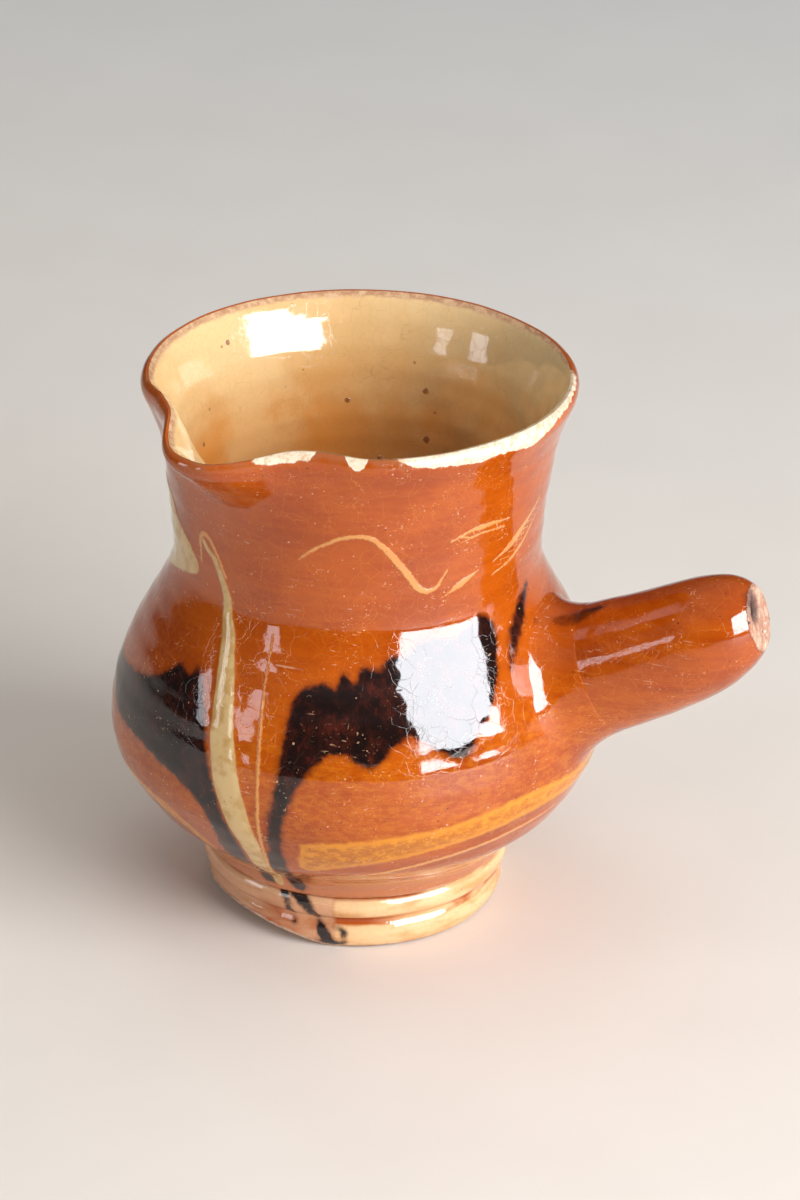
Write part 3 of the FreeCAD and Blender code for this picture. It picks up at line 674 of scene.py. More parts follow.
# %% Wear the rim and raise the slip
RIM_WEAR = [
    (150, -2.0), (250, -2.0), (261, -2.0), (263, 0.8), (266, 1.9), (272, 2.3), (276, 1.7), (279, -1.5),
    (284, -2.0), (285.5, 1.2), (287, 2.4), (289, 2.4), (290.5, 1.2), (292, -2.0), (297, -1.5), (299, 0.7),
    (304, 2.5), (312, 2.9), (320, 3.5), (330, 3.0), (336, 4.2), (341, 4.4), (346, 2.8), (352, 1.6),
    (364, 0.8), (376, 0.4), (384, -0.6), (396, -2.0), (510, -2.0),
]
places = spots(wall)
wear = np.array(RIM_WEAR)
width_here = np.interp(turned(places), wear[:, 0], wear[:, 1])
crest_gap = read(wall, "from_crest")
write(wall, "rim_wear", np.clip(width_here - crest_gap, -3.0, 3.0))
write(wall, "crest_glow", np.clip(2.6 - np.abs(crest_gap), -3.0, 3.0))
inside_foot = np.hypot(places[:, 0], places[:, 1]) < BORE + 0.6
write(wall, "bare_clay", np.where((places[:, 2] < FOOT_TOP + 0.4) & inside_foot, 1.0, -3.0))


def raise_slip(piece, name, height, edge):
    """Lift a mark off the clay, with an edge that many millimetres wide."""
    group = piece.vertex_groups.new(name="raised_" + name)
    for vert, depth in zip(piece.data.vertices, piece.data.attributes[name].data):
        if depth.value > -edge:
            group.add([vert.index], min(1.0, 0.5 + 0.5 * depth.value / edge), "REPLACE")
    use(piece, "DISPLACE", name, vertex_group=group.name, strength=height * MM, mid_level=0.0)


for name, height, edge in (("cream_slip", 0.30, 0.7), ("black_slip", 0.12, 0.9), ("ochre_slip", 0.10, 0.9)):
    raise_slip(wall, name, height, edge)
print("slip raised; rim box", [round(value, 1) for value in spots(wall).max(0)])

# %% [markdown]
# Where the rim is not worn, the edge of the lining is stained brown. The stain is widest at the back.

# %% Stain the lining's edge
places = spots(lining)
stain = np.array([
    (150, 1.5), (240, 1.6), (256, 1.0), (262, -2.0), (376, -2.0), (386, 0.8), (420, 1.5), (510, 1.5),
])
crest_gap = read(lining, "from_crest")
edge_width = np.interp(turned(places), stain[:, 0], stain[:, 1])
write(lining, "crest_stain", np.clip(edge_width - np.abs(crest_gap), -3.0, 3.0))
print("points in the stained edge", int((edge_width > np.abs(crest_gap)).sum()))

# %% [markdown]
# A last smear of black slip crosses the root of the handle. It lies on two pieces, so it is a line in
# space that both of them measure. The rest of their marks are empty, but the recipe asks for them.

# %% The marks on the handle and its collar
def write_same(piece, name, value):
    write(piece, name, np.full(len(piece.data.vertices), value))


SMEAR = np.array([   # a place and a half width
    (44.5, -9.0, 80.5, 1.2), (47.0, -7.5, 81.0, 1.8), (50.0, -5.5, 80.6, 2.4), (53.5, -3.5, 80.6, 2.2),
    (58.0, -1.5, 81.5, 0.8),
])
order = np.arange(len(SMEAR))
steps = np.linspace(0, len(SMEAR) - 1, 60)
line = np.stack([np.interp(steps, order, SMEAR[:, column]) for column in range(4)], axis=1)
for piece in (handle, collar):
    which, gap = nearest(spots(piece), line[:, :3])
    smear_and_vent_shade = line[which, 3] - gap
    if piece is handle:
        # the vent is painted black as well: painted shade down the hole and round its mouth
        smear_and_vent_shade = np.maximum(smear_and_vent_shade, by_vent)
    write(piece, "black_slip", smear_and_vent_shade)
    for name, empty in [*NO_MARKS.items(), ("rim_wear", -FAR), ("crest_glow", -FAR)]:
        if name != "black_slip":
            write_same(piece, name, empty)
write_same(collar, "bare_clay", -3.0)
print("points in the smear on the collar", int((smear_and_vent_shade > 0).sum()))

# %% [markdown]
# Black slip ran down over the ribs of the foot in a few drips, and the cream bands of the ribs start
# beside them. Both are kept as distances, like the marks above.

# %% The marks on the foot
DRIP_RADIUS = 34.9    # radius at which the drips are measured
MM_PER_DEGREE = 0.61  # along that circle
BANDS_START = 280.5
FOOT_DRIPS = [
    [(259, 15.0, 0.9), (262, 13.0, 1.1), (263.5, 9.5, 1.1), (264.5, 6.0, 0.8)],
    [(264, 15.0, 1.2), (269, 12.6, 1.4), (273, 9.5, 1.2), (275.5, 6.0, 1.3), (278, 2.5, 1.4)],
    [(275, 6.8, 0.6), (280, 6.6, 0.8), (284, 5.0, 0.7), (284.5, 3.0, 0.5)],
    [(271, 1.0, 0.5), (277, 1.4, 1.2), (284, 1.2, 1.0)],
]


def on_foot(angle, height):
    turn = np.radians(angle)
    return np.stack([DRIP_RADIUS * np.cos(turn), DRIP_RADIUS * np.sin(turn), height], axis=-1)


places = spots(foot)
angle, height = turned(places), places[:, 2]
drips = np.full(len(places), -FAR)
for stations in FOOT_DRIPS:
    drips = np.maximum(drips, stroke(places, stations, on_foot)[0])
radius = np.hypot(places[:, 0], places[:, 1])
write(foot, "black_slip", np.where(radius > 32.5, drips, -FAR))
write(foot, "past_drips", np.clip((angle - BANDS_START) * MM_PER_DEGREE, -FAR, 40.0))
under = np.maximum(0.7 - height, BORE + 1.2 - radius)
flat = (places - np.array(knock["plane_co"]) / MM) @ -np.array(knock["plane_no"])
write(foot, "bare_clay", np.clip(np.maximum(under, 0.5 - flat), -3.0, 1.5))
print("points in the drips", int((drips > 0).sum()))

# %% [markdown]
# Now the finishes. Everything on this pot sits under one clear lead glaze: red clay turns amber
# through it, cream slip turns to honey, black slip stays black with a red fringe. A recipe is a
# node tree with short verbs. Most verbs add a node or two, and lay() puts one more colour on top,
# in the order in which the potter puts them on.

# %% A recipe, and the verbs that add nodes to it
ROUND_THE_POT = (0.3, 0.3, 1.0)   # stretches a noise a long way round the pot


def colour(red, green, blue):
    return (red, green, blue, 1.0)


class Recipe:
    """A node tree, the piece's own coordinates in it, and the colour and relief it has so far."""

    def __init__(self, tree, base=None):
        self.tree, self.shade, self.skin = tree, base, None
        self.spaces = self.node("TexCoord")
        self.where = self.spaces["Object"]

    def link(self, value, socket):
        self.tree.links.new(value, socket)

    def fill(self, made, wires):
        """Give a node's inputs values or other nodes' outputs, and hand over its own outputs."""
        for key, value in wires.items():
            if isinstance(value, bpy.types.NodeSocket):
                self.link(value, made.inputs[key])
            else:
                made.inputs[key].default_value = value
        return made.outputs

    def node(self, kind, wires=None, **settings):
        made = self.tree.nodes.new("ShaderNode" + kind)
        for key, value in settings.items():
            setattr(made, key, value)
        return self.fill(made, wires or {})

    def effect(self, shared, **amounts):
        """Use a shared effect, with these amounts."""
        made = self.tree.nodes.new("ShaderNodeGroup")
        made.node_tree = shared.tree
        return self.fill(made, amounts)

    def calc(self, operation, first, second=0.0, third=0.0):
        return self.node("Math", {0: first, 1: second, 2: third}, operation=operation)[0]

    def times(self, first, second):
        return self.calc("MULTIPLY", first, second)

    def rest(self, share):
        """What a share leaves of 1."""
        return self.calc("SUBTRACT", 1.0, share)

    def fade(self, value, low, high):
        """0 below low, 1 above high, soft between."""
        wires = {"Value": value, "From Min": low, "From Max": high}
        return self.node("MapRange", wires, interpolation_type="SMOOTHSTEP")[0]

    def band(self, value, low, low_full, high_full, high):
        """1 between the two full values, soft outside them."""
        return self.times(self.fade(value, low, low_full), self.rest(self.fade(value, high_full, high)))

    def grain(self, size, detail=3.0, rough=0.5, twist=0.0, where=None, stretch=None):
        """Soft noise with that size in millimetres."""
        if stretch is not None:
            where = self.node("Mapping", {"Vector": self.where, "Scale": stretch})[0]
        wires = {"Vector": self.where if where is None else where, "Scale": 1000.0 / size}
        wires.update({"Detail": detail, "Roughness": rough, "Distortion": twist})
        return self.node("TexNoise", wires)[0]

    def mark(self, name):
        return self.node("Attribute", attribute_name=name)["Fac"]

    def mix(self, share, under, over):
        return self.node("Mix", {0: share, 6: under, 7: over}, data_type="RGBA")[2]

    def lay(self, share, over, strength=1.0):
        """Lay one more colour over what is there, with a share of 0 to 1."""
        if strength != 1.0:
            share = self.times(share, strength)
        self.shade = self.mix(share, self.shade, over)

    def emboss(self, height, depth):
        """Push the normal by a height whose 0 to 1 stands for that many millimetres."""
        wires = {"Height": height, "Distance": depth * MM, "Strength": 1.0}
        if self.skin is not None:
            wires["Normal"] = self.skin
        self.skin = self.node("Bump", wires)[0]


def new_effect(name, outputs, **inputs):
    """A recipe in a node group of its own, and the group's two ends."""
    group = bpy.data.node_groups.new(name, "ShaderNodeTree")
    for label, value in inputs.items():
        socket = group.interface.new_socket(label, in_out="INPUT", socket_type="NodeSocketFloat")
        socket.default_value = value
    for label in outputs:
        group.interface.new_socket(label, in_out="OUTPUT", socket_type="NodeSocketFloat")
    given = group.nodes.new("NodeGroupInput").outputs
    result = group.nodes.new("NodeGroupOutput").inputs
    return Recipe(group), given, result


print("recipes can be written")

# %% [markdown]
# Old lead glaze is crazed: it shrank more than the clay and broke into a net of fine cracks. A
# Voronoi texture gives the distance to the nearest cell edge, and noise bends the cells. Large
# cracks come first and a finer net grows inside some of them.

# %% Crazing of the glaze
crazing, given, result = new_effect("glaze_crazing", ["Cracks"], Cell=5.0, Width=0.05, Finer=0.5)
bend = crazing.node("TexNoise", {"Vector": crazing.where, "Scale": 260.0, "Detail": 2.0})["Color"]
bend = crazing.node("VectorMath", {0: bend, "Scale": 0.0022}, operation="SCALE")[0]
bent = crazing.node("VectorMath", {0: crazing.where, 1: bend}, operation="ADD")[0]
nets = []
for share, strength in ((1.0, 1.0), (0.42, 0.8)):
    scale = crazing.calc("DIVIDE", 1000.0 / share, given["Cell"])
    edge = crazing.node("TexVoronoi", {"Vector": bent, "Scale": scale}, feature="DISTANCE_TO_EDGE")[0]
    width = crazing.calc("DIVIDE", crazing.calc("DIVIDE", given["Width"], share), given["Cell"])
    nets.append(crazing.times(crazing.rest(crazing.fade(edge, 0.0, width)), strength))
large = crazing.times(nets[0], crazing.fade(crazing.grain(20.0, where=bent), 0.3, 0.5))
small = crazing.times(nets[1], crazing.fade(crazing.grain(14.0, where=bent), 0.42, 0.62))
net = crazing.calc("MAXIMUM", large, crazing.times(small, given["Finer"]))
crazing.link(net, result["Cracks"])
print("crazing nodes", len(crazing.tree.nodes))

# %% [markdown]
# Specks come from grit in the clay and ash in the kiln. Each Voronoi cell may hold one speck: a
# number drawn for the cell decides whether it does, and how large the speck is.

# %% Specks in the glaze
specks, given, result = new_effect("kiln_specks", ["Specks"], Cell=3.0, Share=0.2, Size=0.3)
scale = specks.calc("DIVIDE", 1000.0, given["Cell"])
cells = specks.node("TexVoronoi", {"Vector": specks.where, "Scale": scale})
drawn = specks.node("SeparateColor", {0: cells["Color"]})
kept = specks.calc("LESS_THAN", drawn[0], given["Share"])
size = specks.calc("DIVIDE", given["Size"], given["Cell"])
reach = specks.times(size, specks.calc("ADD", drawn[1], 0.4))
ragged = specks.calc("MULTIPLY_ADD", specks.grain(0.8), 0.14, cells["Distance"])
past = specks.fade(ragged, specks.calc("ADD", 0.06, reach), specks.calc("ADD", 0.10, reach))
specks.link(specks.times(specks.rest(past), kept), result["Specks"])


def speckle(recipe, cell, share, size):
    """Specks of that size in millimetres, in that share of cells of that width."""
    return recipe.effect(specks, Cell=cell, Share=share, Size=size)["Specks"]


print("speck nodes", len(specks.tree.nodes))

# %% [markdown]
# A painted mark has no ruled edge. The distance that each vertex carries is shaken by noise before
# it is cut, and the same distance gives a fringe where the slip runs thin.

# %% Edge of a slip mark
slip_edge, given, result = new_effect(
    "slip_edge", ["Mark", "Fringe"], Inside=-9.0, Shake=0.6, Soft=0.3, Fringe=1.2
)
shaken = slip_edge.times(slip_edge.calc("SUBTRACT", slip_edge.grain(2.6, 4.0, 0.6), 0.5), 3.0)
shaken = slip_edge.calc("MULTIPLY_ADD", shaken, given["Shake"], given["Inside"])
for reach, label in (("Soft", "Mark"), ("Fringe", "Fringe")):
    low = slip_edge.times(given[reach], -1.0)
    slip_edge.link(slip_edge.fade(shaken, low, given["Soft"]), result[label])


def slip_mark(recipe, name, shake, soft, fringe=1.2):
    """The mark itself and its fringe, from the distances that the vertices carry."""
    return recipe.effect(slip_edge, Inside=recipe.mark(name), Shake=shake, Soft=soft, Fringe=fringe)


print("edge nodes", len(slip_edge.tree.nodes))

# %% [markdown]
# The glaze lies thick and thin. Broad clouds make it pool, and the potter's rings catch it in
# level streaks, so the noise of the second part is stretched a long way round the pot.

# %% Pooling of the glaze
pooling, given, result = new_effect("glaze_pooling", ["Thick"], Streak=0.5)
streak = pooling.calc("SUBTRACT", pooling.grain(2.6, 4.0, 0.65, stretch=(0.10, 0.10, 1.0)), 0.5)
both = pooling.calc("MULTIPLY_ADD", streak, given["Streak"], pooling.grain(26.0, 4.0))
pooling.link(pooling.fade(both, 0.32, 0.68), result["Thick"])
print("pooling nodes", len(pooling.tree.nodes))

# %% [markdown]
# Years of handling leave short hair scratches and scuffs in the soft glaze. Noise squeezed in one
# direction gives the scratches; they are pale where they catch the light.

# %% Scratches
scratches, given, result = new_effect("hair_scratches", ["Scratches"], Amount=0.5)
found = []
for turn, stretch in ((0.5, (0.05, 1.0, 1.0)), (1.9, (1.0, 0.06, 0.8))):
    wires = {"Vector": scratches.where, "Rotation": (turn, 0.7 * turn, turn), "Scale": stretch}
    hair = scratches.grain(0.55, 1.0, 0.4, where=scratches.node("Mapping", wires)[0])
    found.append(scratches.fade(hair, 0.68, 0.74))
rare = scratches.fade(scratches.grain(7.0), 0.48, 0.62)
both = scratches.times(scratches.calc("MAXIMUM", *found), rare)
scratches.link(scratches.times(both, given["Amount"]), result["Scratches"])
print("scratch nodes", len(scratches.tree.nodes))

# %% [markdown]
# The glazed clay is one recipe for the wall, the handle and its collar. It is laid up as in the
# workshop: clay under amber glaze, then ochre, black and cream slip, then what time has done to it.
# Two layers are painted light: a painted reflection of the table low on the belly, and painted
# shade down the handle's vent, which rides on the black slip's mark.
# The Principled shader's own sockets hold what is the same all over: a lead glaze bends light more
# than window glass does.

# %% Recipe for the glazed red clay
AMBER, DEEP_AMBER = colour(0.44, 0.078, 0.003), colour(0.28, 0.035, 0.001)
OCHRE, OCHRE_BROWN = colour(0.68, 0.25, 0.015), colour(0.34, 0.07, 0.004)
BLACK, FRINGE_RED = colour(0.010, 0.004, 0.003), colour(0.11, 0.012, 0.003)
CREAM, HONEY = colour(0.66, 0.45, 0.20), colour(0.54, 0.32, 0.11)
BARE, BARE_PINK = colour(0.60, 0.40, 0.27), colour(0.46, 0.20, 0.12)
BONE, BONE_BROWN = colour(0.80, 0.67, 0.50), colour(0.62, 0.41, 0.23)


def new_material(name, rough, ior, base):
    """A material, the recipe that will fill it, and its shader's inputs."""
    made = bpy.data.materials.new(name)
    made.use_nodes = True
    sockets = made.node_tree.nodes["Principled BSDF"].inputs
    sockets["Roughness"].default_value = rough
    sockets["IOR"].default_value = ior
    return made, Recipe(made.node_tree, base), sockets


def serve(recipe, sockets, rough):
    """Give the shader the finished colour, roughness and relief."""
    recipe.link(recipe.shade, sockets["Base Color"])
    recipe.link(rough, sockets["Roughness"])
    if recipe.skin is not None:
        recipe.link(recipe.skin, sockets["Normal"])


def glazed_clay(name, thick_share, speck_share, black_soft, black_share):
    """Red clay under amber glaze, with every mark of slip that a piece may carry."""
    made, r, sockets = new_material(name, 0.07, 1.56, AMBER)
    r.lay(r.effect(pooling)["Thick"], DEEP_AMBER, thick_share)
    r.lay(r.fade(r.grain(1.1, 3.0, 0.7), 0.5, 0.75), colour(0.30, 0.05, 0.004), 0.35)
    level = r.node("SeparateXYZ", {0: r.where})[2]
    on_belly = r.band(level, 0.030, 0.042, 0.056, 0.074)
    gold = r.fade(r.grain(1.3, 6.0, 0.8, stretch=(0.4, 0.4, 1.0)), 0.42, 0.62)
    gold = r.times(gold, r.calc("MULTIPLY_ADD", on_belly, 0.26, 0.06))
    r.lay(gold, colour(0.66, 0.215, 0.010))
    cracks = r.effect(crazing, Cell=4.8, Width=0.06, Finer=0.9)["Cracks"]
    r.lay(cracks, colour(0.80, 0.30, 0.05), 0.24)
    # painted reflection of the table: the belly is painted lighter below its waist
    r.lay(r.rest(r.fade(level, 0.019, 0.033)), colour(0.74, 0.34, 0.15), 0.35)

    in_belt = r.calc("MULTIPLY_ADD", r.fade(r.mark("ochre_slip"), 0.6, 2.4), 0.50, 0.14)
    freckle = r.fade(r.grain(1.5, 5.0, 0.75, stretch=(0.6, 0.6, 1.0)), 0.36, 0.58)
    belt = r.mix(r.times(in_belt, freckle), OCHRE, OCHRE_BROWN)
    r.lay(slip_mark(r, "ochre_slip", 0.5, 0.7)["Mark"], belt)

    clay = r.mix(r.fade(r.grain(2.4, 5.0, 0.75), 0.40, 0.58), BARE, BARE_PINK)
    clay = r.mix(r.fade(r.grain(1.5, 4.0, 0.7), 0.60, 0.70), clay, colour(0.80, 0.68, 0.52))
    clay = r.mix(speckle(r, 1.3, 0.35, 0.25), clay, colour(0.06, 0.045, 0.04))
    bare = slip_mark(r, "bare_clay", 0.45, 0.10)["Mark"]
    r.lay(bare, clay)

    black = slip_mark(r, "black_slip", 0.8, black_soft, 1.8)
    r.lay(black["Fringe"], FRINGE_RED, 0.75)
    rust = r.fade(r.grain(3.5, 6.0, 0.75, stretch=(1.0, 1.0, 0.6)), 0.42, 0.74)
    ink = r.mix(r.times(rust, 0.9), BLACK, colour(0.075, 0.012, 0.006))
    r.lay(black["Mark"], ink, black_share)

    cream = slip_mark(r, "cream_slip", 0.25, 0.25, 0.8)
    r.lay(cream["Fringe"], colour(0.52, 0.16, 0.03), 0.45)
    r.lay(cream["Mark"], r.mix(r.fade(r.grain(3.0, 4.0), 0.40, 0.65), CREAM, HONEY))
    inside_line = r.calc("SUBTRACT", r.mark("fine_half"), r.calc("ABSOLUTE", r.mark("fine_across")))
    near_line = r.rest(r.fade(r.mark("fine_reach"), 1.0, 1.7))
    brushed = r.calc("MULTIPLY_ADD", r.calc("SUBTRACT", r.grain(0.8, 3.0), 0.5), 0.9, inside_line)
    fine = r.times(r.fade(brushed, -0.22, 0.30), near_line)
    r.lay(fine, colour(0.76, 0.37, 0.11), 0.66)

    r.lay(speckle(r, 1.5, speck_share, 0.15), colour(0.06, 0.012, 0.004), 0.8)
    r.lay(speckle(r, 2.4, 0.45, 0.17), colour(0.80, 0.48, 0.28), 0.55)
    hairs = r.effect(scratches, Amount=0.8)["Scratches"]
    r.lay(hairs, colour(0.75, 0.45, 0.25), 0.5)
    thin_rim = r.times(r.fade(r.mark("crest_glow"), -0.3, 1.6), r.fade(r.grain(4.0, 4.0), 0.35, 0.60))
    r.lay(thin_rim, colour(0.36, 0.115, 0.04), 0.6)
    worn = slip_mark(r, "rim_wear", 0.7, 0.18)["Mark"]
    r.lay(worn, r.mix(r.fade(r.grain(1.5, 5.0, 0.7), 0.42, 0.66), BONE, BONE_BROWN))

    r.emboss(r.grain(5.0, 2.0, 0.4), 0.10)
    r.emboss(r.rest(cracks), 0.008)
    r.emboss(fine, 0.12)
    r.emboss(r.times(r.grain(0.7, 4.0, 0.7), bare), 0.5)
    rough = r.calc("MULTIPLY_ADD", bare, 0.70, 0.055)
    rough = r.calc("MULTIPLY_ADD", worn, 0.22, rough)
    rough = r.calc("MULTIPLY_ADD", r.calc("MAXIMUM", hairs, cracks), 0.10, rough)
    serve(r, sockets, rough)
    return made


belly_glaze = glazed_clay("amber_glaze_on_red_clay", 0.75, 0.12, 0.7, 1.0)
handle_glaze = glazed_clay("amber_glaze_on_handle", 0.85, 0.40, 1.5, 0.8)
print("nodes in the glazed clay", len(belly_glaze.node_tree.nodes))

# %% [markdown]
# The foot carries the same glaze with two bands of cream slip on its ribs, which start beside the
# black drips. A band follows the height, shaken by noise, and the drips come from their table.
# Further round to the right the whole foot is painted paler, a painted wash of light.

# %% Recipe for the banded foot
foot_glaze, r, sockets = new_material("amber_glaze_on_banded_foot", 0.08, 1.56, AMBER)
r.lay(r.effect(pooling, Streak=1.0)["Thick"], DEEP_AMBER, 0.6)
height = r.times(r.node("SeparateXYZ", {0: r.where})[2], 1000.0)
shaken = r.calc("SUBTRACT", r.grain(6.0, 4.0, stretch=ROUND_THE_POT), 0.5)
wavy = r.calc("MULTIPLY_ADD", shaken, 2.4, height)
right = r.fade(r.mark("past_drips"), -0.6, 0.9)
streak = r.band(wavy, 11.6, 12.3, 13.3, 14.0)
clouds = r.times(r.fade(r.grain(7.0, 4.0, stretch=(0.4, 0.4, 1.0)), 0.30, 0.55), 0.75)
left_milk = r.times(r.rest(right), r.calc("MAXIMUM", streak, clouds))
r.lay(left_milk, colour(0.74, 0.44, 0.24), 0.9)
ribs = r.calc("MAXIMUM", r.band(wavy, 0.2, 0.9, 5.9, 6.8), r.band(wavy, 8.4, 9.4, 12.8, 14.0))
# painted light: past the drips the foot is painted paler all over, over and between the cream bands
painted_wash = r.fade(r.grain(4.0, 4.0, stretch=ROUND_THE_POT), 0.35, 0.55)
painted_wash = r.times(r.fade(r.mark("past_drips"), 7.0, 20.0), painted_wash)
bands_and_painted_wash = r.times(r.calc("MAXIMUM", ribs, r.times(painted_wash, 0.9)), right)
milk = r.fade(r.grain(3.0, 4.0, stretch=ROUND_THE_POT), 0.42, 0.70)
r.lay(bands_and_painted_wash, r.mix(milk, colour(0.80, 0.52, 0.26), colour(0.66, 0.33, 0.12)), 0.95)
drips = slip_mark(r, "black_slip", 0.5, 0.3, 0.9)
r.lay(drips["Fringe"], FRINGE_RED, 0.6)
r.lay(drips["Mark"], colour(0.016, 0.013, 0.014))
r.lay(r.effect(crazing, Cell=4.0, Width=0.08)["Cracks"], colour(0.30, 0.09, 0.02), 0.25)
r.lay(speckle(r, 2.6, 0.15, 0.16), colour(0.08, 0.02, 0.006), 0.7)
bare = slip_mark(r, "bare_clay", 0.6, 0.15)["Mark"]
r.lay(bare, r.mix(r.fade(r.grain(2.0, 5.0, 0.7), 0.40, 0.62), BARE, BARE_PINK))
r.emboss(r.grain(4.0, 3.0, 0.5), 0.16)
r.emboss(r.times(r.grain(0.8, 4.0, 0.7), bare), 0.4)
serve(r, sockets, r.calc("MULTIPLY_ADD", bare, 0.70, 0.07))
print("nodes in the foot", len(r.tree.nodes))

# %% [markdown]
# Inside, the cream slip is crazed and stained: iron from the clay comes through in orange clouds
# low on one side, the glaze is greyer on the other, and a few brown blisters are scattered about.

# %% Recipe for the lining
lining_base = colour(0.80, 0.52, 0.23)
lining_glaze, r, sockets = new_material("clear_glaze_on_cream_lining", 0.09, 1.60, lining_base)
axes = r.node("SeparateXYZ", {0: r.where})
to_right = r.fade(axes[0], -0.030, 0.042)
low_down = r.rest(r.fade(axes[2], 0.094, 0.124))
cloud = r.fade(r.grain(24.0, 5.0, 0.55, 0.4), 0.38, 0.66)
r.lay(cloud, colour(0.68, 0.37, 0.12))
stain = r.times(r.rest(to_right), low_down)
r.lay(r.times(stain, r.calc("MULTIPLY_ADD", cloud, 0.6, 0.5)), colour(0.74, 0.27, 0.05), 0.95)
grey = r.times(to_right, r.fade(r.grain(20.0, 4.0), 0.35, 0.6))
r.lay(grey, colour(0.38, 0.31, 0.17), 0.6)
r.lay(r.fade(axes[2], 0.100, 0.128), colour(0.80, 0.60, 0.32), 0.35)
cracks = r.effect(crazing, Cell=3.6, Width=0.06, Finer=0.9)["Cracks"]
r.lay(cracks, colour(0.36, 0.20, 0.08), 0.32)
blisters = speckle(r, 8.0, 0.50, 0.7)
r.lay(blisters, colour(0.24, 0.07, 0.02), 0.85)
r.lay(speckle(r, 5.0, 0.30, 0.35), colour(0.30, 0.12, 0.04), 0.7)
brown = r.fade(r.grain(2.6, 5.0, 0.7), 0.40, 0.62)
brown = r.mix(brown, colour(0.42, 0.19, 0.10), colour(0.66, 0.42, 0.24))
r.lay(slip_mark(r, "crest_stain", 0.9, 0.4)["Mark"], brown, 0.85)
r.emboss(r.grain(7.0, 2.0, 0.4), 0.18)
r.emboss(r.rest(cracks), 0.008)
r.emboss(blisters, 0.15)
hairs = r.effect(scratches, Amount=0.6)["Scratches"]
serve(r, sockets, r.calc("MULTIPLY_ADD", r.calc("MAXIMUM", hairs, blisters), 0.25, 0.08))
print("nodes in the lining", len(r.tree.nodes))

# %% [markdown]
# Each piece now takes its finish, rides on the pot's one body and hides the imported solids that
# it replaces.

# %% Finish the pieces
def finish_piece(piece, material, slot_name, *nodes):
    piece.data.materials.clear()
    piece.data.materials.append(material)
    bpy.ops.object.select_all(action="DESELECT")
    bpy.context.view_layer.objects.active = piece
    piece.select_set(True)
    bpy.ops.object.shade_smooth_by_angle(angle=math.radians(40))
    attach(piece, "root")
    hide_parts(*nodes)


MARKS_ON_WALL = [
    "ochre_slip_belt", "cream_trail_wide", "cream_trail_thin", "cream_smear_neck", "neck_curl",
    "neck_brush_mark_high", "neck_brush_mark_low", "neck_dash", "black_patch_left", "black_patch_right",
]
MARKS_ON_FOOT = ["cream_band_low", "cream_band_high", "black_drips_low", "black_drips_high"]
finish_piece(wall, belly_glaze, "red_glazed_clay", "body_wall", *MARKS_ON_WALL)
finish_piece(lining, lining_glaze, "cream_slip", "slip_lining")
finish_piece(foot, foot_glaze, "red_glazed_clay", "foot_ring", *MARKS_ON_FOOT)
finish_piece(handle, handle_glaze, "red_glazed_clay", "handle")
finish_piece(collar, handle_glaze, "red_glazed_clay", "handle_collar")
print("pieces", [piece.name for piece in (wall, lining, foot, handle, collar)])

# %% [markdown]
# The pot stands on a plain pale table. The table matters as much as the lamps, because the glaze
# is a mirror: below the belly's widest part it shows nothing but table.

# %% Table
bpy.ops.object.select_all(action="DESELECT")
bpy.ops.mesh.primitive_plane_add(size=7.0, location=(0, 1.5, cad_box[0][2] - 0.0001))
table = bpy.context.object
table.name = "table"
bpy.ops.object.transform_apply(location=True)
pale, r, sockets = new_material("pale_table", 0.6, 1.45, colour(0.76, 0.70, 0.62))
r.lay(r.grain(60.0, 4.0), colour(0.82, 0.76, 0.68))
away = r.fade(r.node("SeparateXYZ", {0: r.where})[1], -0.05, 1.3)
r.lay(away, colour(0.74, 0.77, 0.78))
serve(r, sockets, r.calc("MULTIPLY_ADD", r.grain(30.0), 0.2, 0.5))
table.data.materials.append(pale)
print("table laid")

# %% [markdown]
# The room has windows on both sides, and the glaze mirrors each of them as a bright pane. The large
# one is two lights in one place. The second only brightens its mirror image, so that light and
# reflection can be set apart. A light overhead softens the shadows and shows in no reflection.

# %% Soft light
COOL, WARM = (0.93, 0.95, 1.0), (1.0, 0.98, 0.95)


def window(name, angle, rise, distance, wide, high, strength, tint, mirrored=True, lights=True):
    """A soft rectangular light that looks at the pot; strength is its brightness per area."""
    turn, lift = math.radians(angle), math.radians(rise)
    middle = Vector((0.0, 0.0, 0.07))
    out = Vector((math.cos(lift) * math.cos(turn), math.cos(lift) * math.sin(turn), math.sin(lift)))
    lamp = bpy.data.lights.new(name, "AREA")
    lamp.shape = "RECTANGLE"
    lamp.size, lamp.size_y = wide, high
    lamp.energy = strength * math.pi * wide * high
    lamp.color = tint
    holder = bpy.data.objects.new(name, lamp)
    bpy.context.scene.collection.objects.link(holder)
    holder.location = middle + out * distance
    holder.rotation_euler = (-out).to_track_quat("-Z", "Y").to_euler()
    holder.visible_glossy = mirrored
    holder.visible_diffuse = lights
    return holder


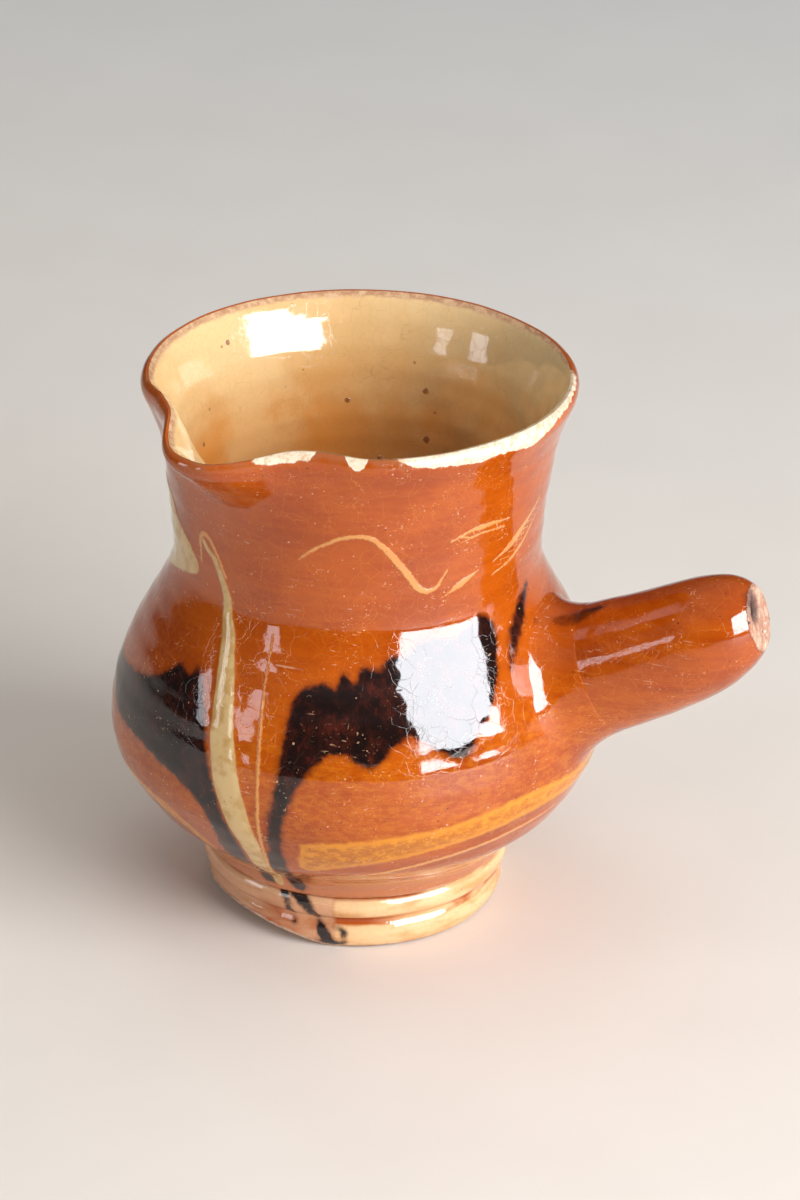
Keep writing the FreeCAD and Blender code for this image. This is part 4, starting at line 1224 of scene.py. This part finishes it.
window("window_right", 338.0, 22.0, 1.3, 1.00, 0.86, 10.5, COOL)
window("window_right_shine", 338.0, 22.0, 1.29, 0.98, 0.84, 9.0, COOL, lights=False)
window("window_left", 212.0, 14.0, 1.5, 0.30, 0.60, 5.0, COOL)
window("window_left_next", 237.0, 14.0, 1.5, 0.22, 0.55, 5.0, COOL)
window("soft_overhead", 90.0, 80.0, 1.6, 1.8, 1.8, 0.85, WARM, mirrored=False)

# %% [markdown]
# The rest of the room is a dim world that is a little brighter overhead, like a pale ceiling.

# %% Dim room
world = bpy.data.worlds.new("dim_room")
world.use_nodes = True
bpy.context.scene.world = world
sky = Recipe(world.node_tree, colour(0.05, 0.05, 0.05))
upward = sky.node("SeparateXYZ", {0: sky.spaces["Generated"]})[2]
sky.lay(sky.fade(upward, 0.25, 0.95), colour(0.35, 0.35, 0.36))
background = world.node_tree.nodes["Background"].inputs
sky.link(sky.shade, background["Color"])
background["Strength"].default_value = 1.0
print("room ready")

# %% [markdown]
# The camera looks down at the pot from the side where the lip and the handle both show. Its place,
# the way it looks and its small tilt were fitted to the pot's outline.

# %% Camera
CAMERA_PLACE = Vector((0.2863, -0.8482, 0.5190))
FORWARD = Vector((-0.277, 0.851, -0.446)).normalized()
ROLL = math.radians(0.81)
FOCAL_LENGTH, SENSOR_WIDTH = 130.7, 36.0
level = FORWARD.cross(Vector((0, 0, 1))).normalized()
above = level.cross(FORWARD)
right_side = level * math.cos(ROLL) + above * math.sin(ROLL)
upper_side = right_side.cross(FORWARD)
camera_data = bpy.data.cameras.new("camera")
camera = bpy.data.objects.new("camera", camera_data)
bpy.context.scene.collection.objects.link(camera)
turn = Matrix((right_side, upper_side, -FORWARD)).transposed().to_4x4()
camera.matrix_world = Matrix.Translation(CAMERA_PLACE) @ turn
camera_data.lens, camera_data.sensor_width = FOCAL_LENGTH, SENSOR_WIDTH
bpy.context.scene.camera = camera
bpy.context.scene.view_settings.view_transform = "Standard"
print("camera at", [round(value, 3) for value in camera.location])
